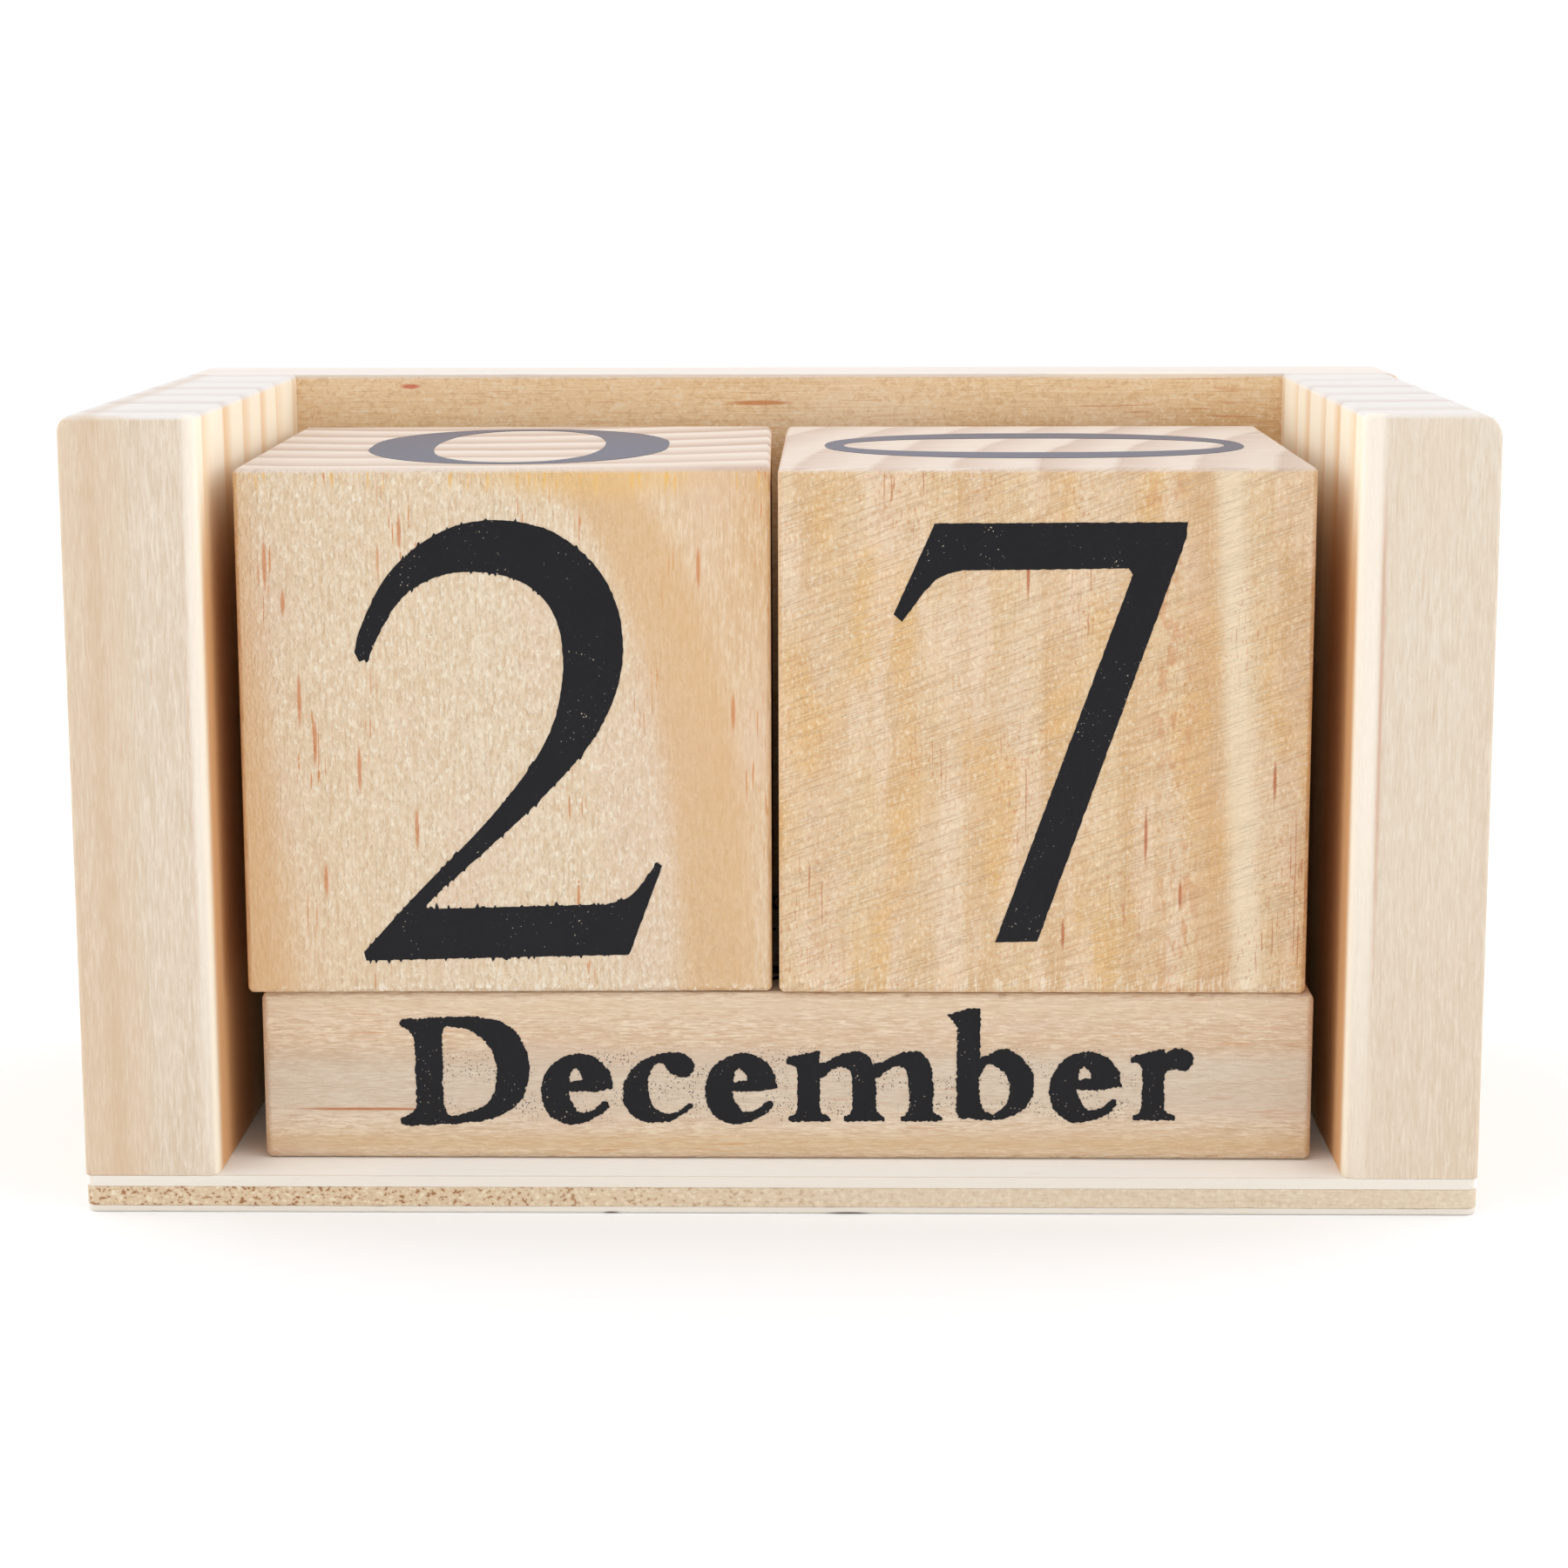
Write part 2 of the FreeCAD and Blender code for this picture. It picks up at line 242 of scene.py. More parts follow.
class Finish(Nodes):
    """A node material. Its patterns are sized in millimetres."""

    def __init__(self, name):
        self.material = bpy.data.materials.new(name)
        self.material.use_nodes = True
        super().__init__(self.material.node_tree)
        self.shader = next(node for node in self.tree.nodes if node.type == "BSDF_PRINCIPLED")
        self.place = self.make("TexCoord").outputs["Object"]

    def vector(self, operation, *values):
        return self.make("VectorMath", dict(enumerate(values)), operation=operation).outputs["Vector"]

    def band(self, value, start, end):
        """0 where the value is at start, 1 where it is at end, and smooth between."""
        inputs = {"Value": value, "From Min": start, "From Max": end}
        return self.make("MapRange", inputs, interpolation_type="SMOOTHSTEP").outputs["Result"]

    def mix(self, share, first, second):
        inputs = {0: share, 6: first, 7: second}
        return self.make("Mix", inputs, data_type="RGBA").outputs[2]

    def frame(self, middle, turn=(0, 0, 0)):
        """The place in millimetres from a middle given in metres, in axes turned by degrees."""
        inputs = {
            "Vector": self.place,
            "Location": middle,
            "Rotation": [math.radians(angle) for angle in turn],
            "Scale": (MM, MM, MM),
        }
        return self.make("Mapping", inputs, vector_type="TEXTURE").outputs[0]

    def noise(self, place, size, detail=1.0, rough=0.5, curl=0.0):
        """Cloudy noise from 0 to 1. size is its features' size in millimetres along each axis."""
        scaled = self.vector("DIVIDE", place, size)
        inputs = {"Vector": scaled, "Scale": 1.0, "Detail": detail, "Roughness": rough, "Distortion": curl}
        return self.make("TexNoise", inputs).outputs[0]

    def ramp(self, value, *stops):
        """A grey ramp through pairs of a place and a level."""
        node = self.make("ValToRGB", {0: value})
        elements = node.color_ramp.elements
        while len(elements) < len(stops):
            elements.new(0.5)
        for element, (place, level) in zip(elements, stops):
            element.position = place
            element.color = (level, level, level, 1)
        return node.outputs[0]

    def close(self, tone, height, roughness):
        """Puts a colour and a relief on the shader. The relief is in tenths of a millimetre."""
        self.put(self.shader.inputs["Base Color"], tone)
        self.put(self.shader.inputs["Roughness"], roughness)
        bump = self.make("Bump", {"Strength": 1.0, "Distance": 0.1 * MM, "Height": height})
        self.put(self.shader.inputs["Normal"], bump.outputs["Normal"])
        return self.material


class Timber(Finish):
    """Sawn pine. Its grain runs along Z of its own frame, and its growth rings lie round a distant pith.
    spacing is a ring's width, lean how far the pith wanders per millimetre of length, late_from the share of
    a ring at which its late wood begins, and evenness how much its years are alike."""

    def __init__(
        self, name, middle, early, late, spacing, pith, seed, turn=(0, 0, 0), lean=(0, 0), wobble=0.6,
        late_from=0.5, evenness=0.6,
    ):
        super().__init__(name)
        self.grain = self.frame(middle, turn)
        self.seeded = self.vector("ADD", self.grain, (seed * 61.7, seed * 23.1, seed * 41.3))
        x, y, z = self.parts(self.grain)
        self.x, self.y, self.z = x, y, z
        swing = self.noise(self.seeded, (16, 16, 110))
        ripple = self.noise(self.seeded, (3.5, 3.5, 28))
        across = [
            self.math("MULTIPLY_ADD", z, slope, self.math("SUBTRACT", value, centre))
            for value, slope, centre in zip((x, y), lean, pith)
        ]
        squares = [self.math("MULTIPLY", value, value) for value in across]
        radius = self.math("SQRT", self.math("ADD", *squares))
        radius = self.math("MULTIPLY_ADD", swing, 4 * wobble, radius)
        radius = self.math("MULTIPLY_ADD", ripple, wobble, radius)
        age = self.math("DIVIDE", radius, spacing)
        number = self.math("FLOOR", age)
        year = self.make("TexWhiteNoise", {"W": number}, noise_dimensions="1D").outputs["Value"]
        share = self.math("FRACT", age)
        dark = self.ramp(share, (0, 1), (0.1, 0), (late_from, 0.04), (0.88, 0.85), (0.97, 1))
        strength = self.math("MULTIPLY_ADD", year, 1 - evenness, evenness)
        self.dark = self.math("MULTIPLY", dark, strength)
        self.tone = self.mix(self.dark, early, late)
        self.height = self.math("MULTIPLY", self.dark, 0.15)

    def tint(self, share, tone):
        """Lays a colour over the wood by a share."""
        self.tone = self.mix(share, self.tone, tone)

    def shade(self, value, start, end, tone, *shares):
        """Lays a colour where a value goes from start to end, by some shares."""
        self.tint(self.both(self.band(value, start, end), *shares), tone)

    def press(self, value, depth):
        """Adds a value to the relief, multiplied by a depth in tenths of a millimetre."""
        self.height = self.math("MULTIPLY_ADD", value, depth, self.height)

    def both(self, *shares):
        """The product of several shares."""
        product = shares[0]
        for share in shares[1:]:
            product = self.math("MULTIPLY", product, share)
        return product

    def fibres(self, light, dark, share, size=(0.13, 0.13, 4.5)):
        """Fine lines along the grain, lighter and darker than the wood, that also stand up a little."""
        fine = self.noise(self.seeded, size, 2.0, 0.6)
        broad = self.noise(self.seeded, [value * 4.5 for value in size], 1.0)
        self.shade(fine, 0.5, 0.75, light, share * 1.3)
        self.shade(fine, 0.5, 0.25, dark, share * 1.3)
        self.shade(broad, 0.5, 0.3, dark, share * 0.6)
        self.press(fine, 0.3)

    def nap(self, light, dark, share, size=(0.3, 0.3, 1.3), depth=0.9):
        """Short woolly fibres, lighter and darker than the wood, that the light catches."""
        wool = self.noise(self.seeded, size, 2.0, 0.65, 0.5)
        self.shade(wool, 0.5, 0.66, light, share)
        self.shade(wool, 0.5, 0.34, dark, share)
        self.press(wool, depth)

    def dashes(self, tone, size, limit, share, crowd=0.5):
        """Short coloured streaks along the grain, in crowds. A higher limit leaves fewer."""
        streak = self.band(self.noise(self.seeded, size, 0.0), limit, limit + 0.05)
        place = self.vector("ADD", self.seeded, (31.0, 7.0, 13.0))
        near = self.band(self.noise(place, (7, 7, 22)), crowd, crowd + 0.12)
        self.tint(self.both(streak, near, share), tone)

    def stripe(self, value, place, width, tone, share, soft):
        """A band along the grain, centred on a place across it. soft is half the width of its blurry edge."""
        away = self.math("ABSOLUTE", self.math("SUBTRACT", value, place))
        self.shade(away, width / 2 + soft, width / 2 - soft, tone, share)

    def spot(self, place, size, tone, share):
        """A soft patch round a place in the piece's own frame, as large as size along each axis."""
        away = self.vector("DIVIDE", self.vector("SUBTRACT", self.grain, place), size)
        length = self.make("VectorMath", {0: away}, operation="LENGTH").outputs["Value"]
        self.shade(length, 1.0, 0.4, tone, share)

    def spots(self, middles, outer, size, tone, share):
        """Short streaks on a front face. middles is their places in X and Z, and how tall each one is."""
        for x, z, tall in middles:
            self.spot((x, outer, z), (*size, tall), tone, share)

    def clouds(self, tone, size, share, low=0.5, high=0.7):
        """Large soft patches."""
        self.shade(self.noise(self.seeded, size), low, high, tone, share)

    def saw_marks(self, middle, turn, size, tone, share, depth, where):
        """Fine scratches left by the saw along X of a turned frame."""
        mark = self.noise(self.frame(middle, turn), size, 1.0)
        line = self.both(self.band(mark, 0.52, 0.72), where)
        self.press(line, -depth)
        self.tint(self.both(line, share), tone)

    def torn_edge(self, edge, size, tone, share):
        """Small fibres torn up along an edge."""
        self.shade(self.noise(self.seeded, size, 1.0), 0.54, 0.64, tone, edge, share)

    def end_grain_and_top_light(self, share, early, late):
        """The rings where the wood is cut across its grain, in colours paler and pinker than the wood's own:
        partly painted light and sheen for the strongly lit tops.
        """
        self.tint(share, self.mix(self.dark, early, late))

    def done(self):
        self.put(self.shader.inputs["Specular IOR Level"], WOOD_SHINE)
        return self.close(self.tone, self.height, WOOD_ROUGHNESS)


def plain(name, tone, roughness):
    finish = Finish(name)
    finish.put(finish.shader.inputs["Base Color"], tone)
    finish.put(finish.shader.inputs["Roughness"], roughness)
    return finish.material


def printing_ink(name):
    """Nearly black ink with pinholes where the grain took none."""
    finish = Finish(name)
    place = finish.frame((0, 0, 0))
    pinhole = finish.band(finish.noise(place, (0.17, 0.17, 0.17), 0.0), 0.8, 0.83)
    patchy = finish.noise(place, (3, 3, 6), 2.0)
    tone = finish.mix(patchy, colour(8, 7, 8), colour(17, 15, 17))
    bare = finish.math("MULTIPLY", pinhole, finish.band(patchy, 0.45, 0.65))
    tone = finish.mix(bare, tone, colour(200, 186, 164))
    height = finish.noise(place, (0.25, 0.25, 0.6), 1.0)
    finish.put(finish.shader.inputs["Specular IOR Level"], 0.2)
    finish.put(finish.shader.inputs["Sheen Weight"], 0.33)
    finish.put(finish.shader.inputs["Sheen Tint"], colour(226, 226, 250))
    return finish.close(tone, finish.math("MULTIPLY", height, 0.25), 0.42)


def brushed_steel(name):
    finish = Finish(name)
    place = finish.frame((0, 0, 0))
    scratch = finish.noise(place, (0.05, 0.6, 0.6), 2.0)
    finish.put(finish.shader.inputs["Metallic"], 1.0)
    tone = finish.mix(scratch, colour(150, 148, 145), colour(188, 186, 182))
    return finish.close(tone, finish.math("MULTIPLY", scratch, 0.1), 0.38)


# ---------------------------------------------------------------- printing

def parse(outline):
    """The runs of an outline written as text: x y pairs with commas between, and a slash before a corner."""
    return [[tuple(map(float, pair.split())) for pair in run.split(",")] for run in outline.split("/")]


def curve_through(before, start, end, after, share):
    """A point on the smooth curve from start to end, which sets out along the line from before to end."""
    def along(b, s, e, a):
        bend = 2 * b - 5 * s + 4 * e - a
        twist = 3 * s - b - 3 * e + a
        return 0.5 * (2 * s + (e - b) * share + bend * share**2 + twist * share**3)
    return along(before[0], start[0], end[0], after[0]), along(before[1], start[1], end[1], after[1])


def trace(outline, step):
    """The points of a closed outline, a step apart. It is smooth but for the first point of each run."""
    runs = parse(outline)
    closed = len(runs) == 1
    points = []
    for number, run in enumerate(runs):
        stops = run + [runs[(number + 1) % len(runs)][0]]
        last = len(stops) - 1
        for index in range(last):
            start, end = stops[index], stops[index + 1]
            before = stops[index - 1] if index else (stops[last - 1] if closed else start)
            after = stops[index + 2] if index + 2 <= last else (stops[1] if closed else end)
            count = max(1, round(math.dist(start, end) / step))
            points += [curve_through(before, start, end, after, k / count) for k in range(count)]
    return points


def area(points):
    return sum(a[0] * b[1] - b[0] * a[1] for a, b in zip(points, points[1:] + points[:1])) / 2


def bristled(points, seed, length):
    """An outline with its edge drawn out in short hairs along the grain, which runs up the face."""
    rough = []
    count = len(points)
    for index, (x, y) in enumerate(points):
        before, after = points[index - 1], points[(index + 1) % count]
        level = (before[0] - after[0]) / (math.dist(before, after) + 1e-9)
        hair = max(0.0, noise.noise((x * HAIRS_ACROSS + seed, y * HAIRS_ALONG, 0.0)) - HAIR_FROM)
        ripple = RIPPLE * noise.noise((x * 1.6, y * 1.6, seed + 5.0))
        rough.append((x + ripple, y + level * (length * hair + ripple)))
    return rough


def blotted(points, seed, spread):
    """An outline with the blunt, uneven edge of ink that ran by about spread, which is negative for a hole.
    A point that would run into another part of the edge is left out."""
    count = len(points)
    edge = KDTree(count)
    for index, (x, y) in enumerate(points):
        edge.insert((x, y, 0), index)
    edge.balance()
    run = []
    for index, (x, y) in enumerate(points):
        before, after = points[index - 1], points[(index + 1) % count]
        outward = Vector((after[1] - before[1], before[0] - after[0], 0)).normalized()
        swell = 0.1 * noise.noise((x * 0.9, y * 0.9, seed))
        grit = 0.16 * noise.noise((x * 4.5, y * 4.5, seed))
        reach = spread + swell + grit
        moved = Vector((x, y, 0)) + outward * reach
        if edge.find(moved)[2] > 0.9 * abs(reach):
            run.append((moved.x, moved.y))
    return run


# The digits, in millimetres from the middle of a face. Each is one or more outlines, and "hole" starts one
# that is cut out of the rest.
DIGITS = {
    "0": [
        "0 20.75, 6 19.5, 11.2 14.8, 14.2 7.4, 14.75 0, 14.2 -7.4, 11.2 -14.8, 6 -19.5, 0 -20.75, -6 -19.5,"
        "-11.2 -14.8, -14.2 -7.4, -14.75 0, -14.2 7.4, -11.2 14.8, -6 19.5",
        "hole 0 18.9, 3.9 17.4, 6.8 12.6, 8.1 6, 8.4 0, 8.1 -6, 6.8 -12.6, 3.9 -17.4, 0 -18.9, -3.9 -17.4,"
        "-6.8 -12.6, -8.1 -6, -8.4 0, -8.1 6, -6.8 12.6, -3.9 17.4",
    ],
    "1": [
        "-7.5 16.2 / 1.5 20.7 / 3.2 20.7 / 3.2 -17, 3.8 -19.3, 8.5 -20.2 / 8.5 -21.3 / -8 -21.3 /"
        "-8 -20.2, -3.4 -19.3, -2.9 -17 / -2.9 13.6, -3.6 15.4, -7 15",
    ],
    "2": [
        "-14 7.8, -13.3 10.3, -11 14.7, -7.8 17.8, -4 19.7, 0.3 20.1, 4.7 19, 8.5 16, 10.6 12, 11.1 7.5,"
        "10.2 3.3, 7.9 -1, 3.6 -5.9, -1.3 -10.5, -7.3 -15.9 / -7.3 -16.8 / 9.3 -16.4, 11.4 -15.7, 13 -14 /"
        "14.1 -12.3 / 14.6 -12.7 / 11.4 -21.3 / -13.6 -21.8 / -13.8 -21, -8.7 -15.4, -1.3 -7.7, 3.6 -1,"
        "5.4 5, 5 10.5, 2.6 13.8, -1.3 15.2, -5.6 15, -9.1 13.2, -11.4 10 / -12.7 7.2 / -13.6 6.9",
    ],
    "3": [
        "-11 12.5 / -12 13.2, -8.6 18.4, -2 20.8, 5 19.9, 9.2 15.5, 9 9.5, 4.6 4.3 / 4.6 3.9, 9.9 0.6,"
        "11.9 -5.2, 10.9 -12.2, 5.4 -18.6, -3.6 -21.4, -11.6 -20.6, -13 -18.2, -11.2 -16.2, -7.4 -17.4,"
        "-2.6 -19, 2.6 -17.4, 6 -12.4, 6.2 -5.6, 3 -0.6, -3 1.4, -6.4 1 / -6.6 2.4 / -1.4 4.6, 2.6 8.4,"
        "3.4 13, 0.8 16.6, -3.6 17.4, -8.2 15.6",
    ],
    "4": [
        "4.6 20.7 / 7.4 20.7 / 7.4 -7 / 13.2 -7 / 13.2 -11.2 / 7.4 -11.2 / 7.4 -21.3 / 1.4 -21.3 /"
        "1.4 -11.2 / -13.4 -11.2 / -13.4 -8",
        "hole 1.4 -7 / 1.4 12.6 / -9.6 -7",
    ],
    "5": [
        "-6.4 20 / 10.6 20 / 12 21.2 / 12.6 20.8 / 10.4 15.6 / -6.2 15.4 / -7.4 10.6, 0 9, 6.6 6, 10.6 0.4,"
        "11 -7, 7.4 -14.4, 0.6 -19.8, -8 -21.4, -12.8 -20, -12.6 -17.4, -9.4 -17.2, -5 -18.6, -0.4 -17.4,"
        "3.8 -13, 5.2 -6.4, 3 -0.6, -3 3.2, -12 4.6",
    ],
    "6": [
        "11 20.6 / 10.8 19.2, 3.6 16, -2.2 10.4, -5.6 3 / -1.4 5, 3.6 5.6, 9.4 3, 12.6 -3, 12.6 -10.6,"
        "8.6 -18, 1 -21.6, -6.8 -20, -11.8 -13.6, -13 -5.6, -10.6 5, -4.4 13.6, 3.6 18.8",
        "hole -6.4 0, -2.4 2.4, 2.6 1.2, 5.8 -4.4, 6.2 -11.4, 3.6 -18, 0.2 -19.6, -3.8 -17.4, -6.2 -11,"
        "-6.9 -5",
    ],
    "7": [
        "-10.4 19.8 / 13 19.9 / 12.9 18.4 / -0.5 -19.9 / -4.5 -20 / 8 15 / 7.6 15.6 / -7.7 15.4, -9.6 14.9,"
        "-11 13.8 / -13.4 10.6 / -14.2 11.3",
    ],
    "8": [
        "0 20.7, 7 19, 10.4 13.6, 8.6 7.4, 3.4 2.6, 9 -2, 12.2 -8.6, 10.6 -16.4, 4.4 -20.8, -2.6 -21.4,"
        "-9.4 -18.6, -12.4 -12.4, -11 -6, -4.4 0.2, -9.4 5.2, -10.8 11.4, -8 17.6",
        "hole 0.4 19, 4.4 17.4, 5.8 12.8, 4.6 7.6, 1.6 4.2, -3.2 7.8, -5.8 12.6, -4.4 17.2",
        "hole -2.4 -1.2, 2.6 -5, 6.4 -9.6, 6.6 -14.8, 3.8 -18.8, -0.6 -19.8, -5.2 -17.6, -7.2 -12.4, -6 -6",
    ],
}

X_HEIGHT = 6.8    # of the small letters
STEM = (
    "0 5.8, 0.2 6.3 / 3 6.9 / 3 1.4, 3.2 0.8, 4 0.35 / 4 0.1 / 0.2 0.1 / 0.2 0.35, 0.9 0.8, 1.05 2.2 /"
    "1.05 4.9, 0.8 5.5"
)
TALL_STEM = (
    "0 10.4 / 2.1 11 / 2.9 11 / 2.9 1.4, 3.1 0.8, 3.9 0.35 / 3.9 0.1 / 0 0.1 / 0 0.35, 0.7 0.8, 0.85 2.2 /"
    "0.85 9.2, 0.5 9.8"
)
ARCH = (
    "2.85 5.6, 3.8 5.9, 5.3 6.6, 6.7 6.8, 7.7 6.3, 8.2 5.2, 8.4 3, 8.4 1.2, 8.7 0.7 / 9.2 0.35 / 9.2 0.1 /"
    "5.5 0.1 / 5.5 0.35, 6.1 0.8, 6.3 2.2, 6.2 4.35, 5.9 5.2, 5 5.5, 4.2 5.2 / 3.25 4.4 / 2.85 4.4"
)
ARCH_PITCH = 5.45    # from one arch of an m to the next

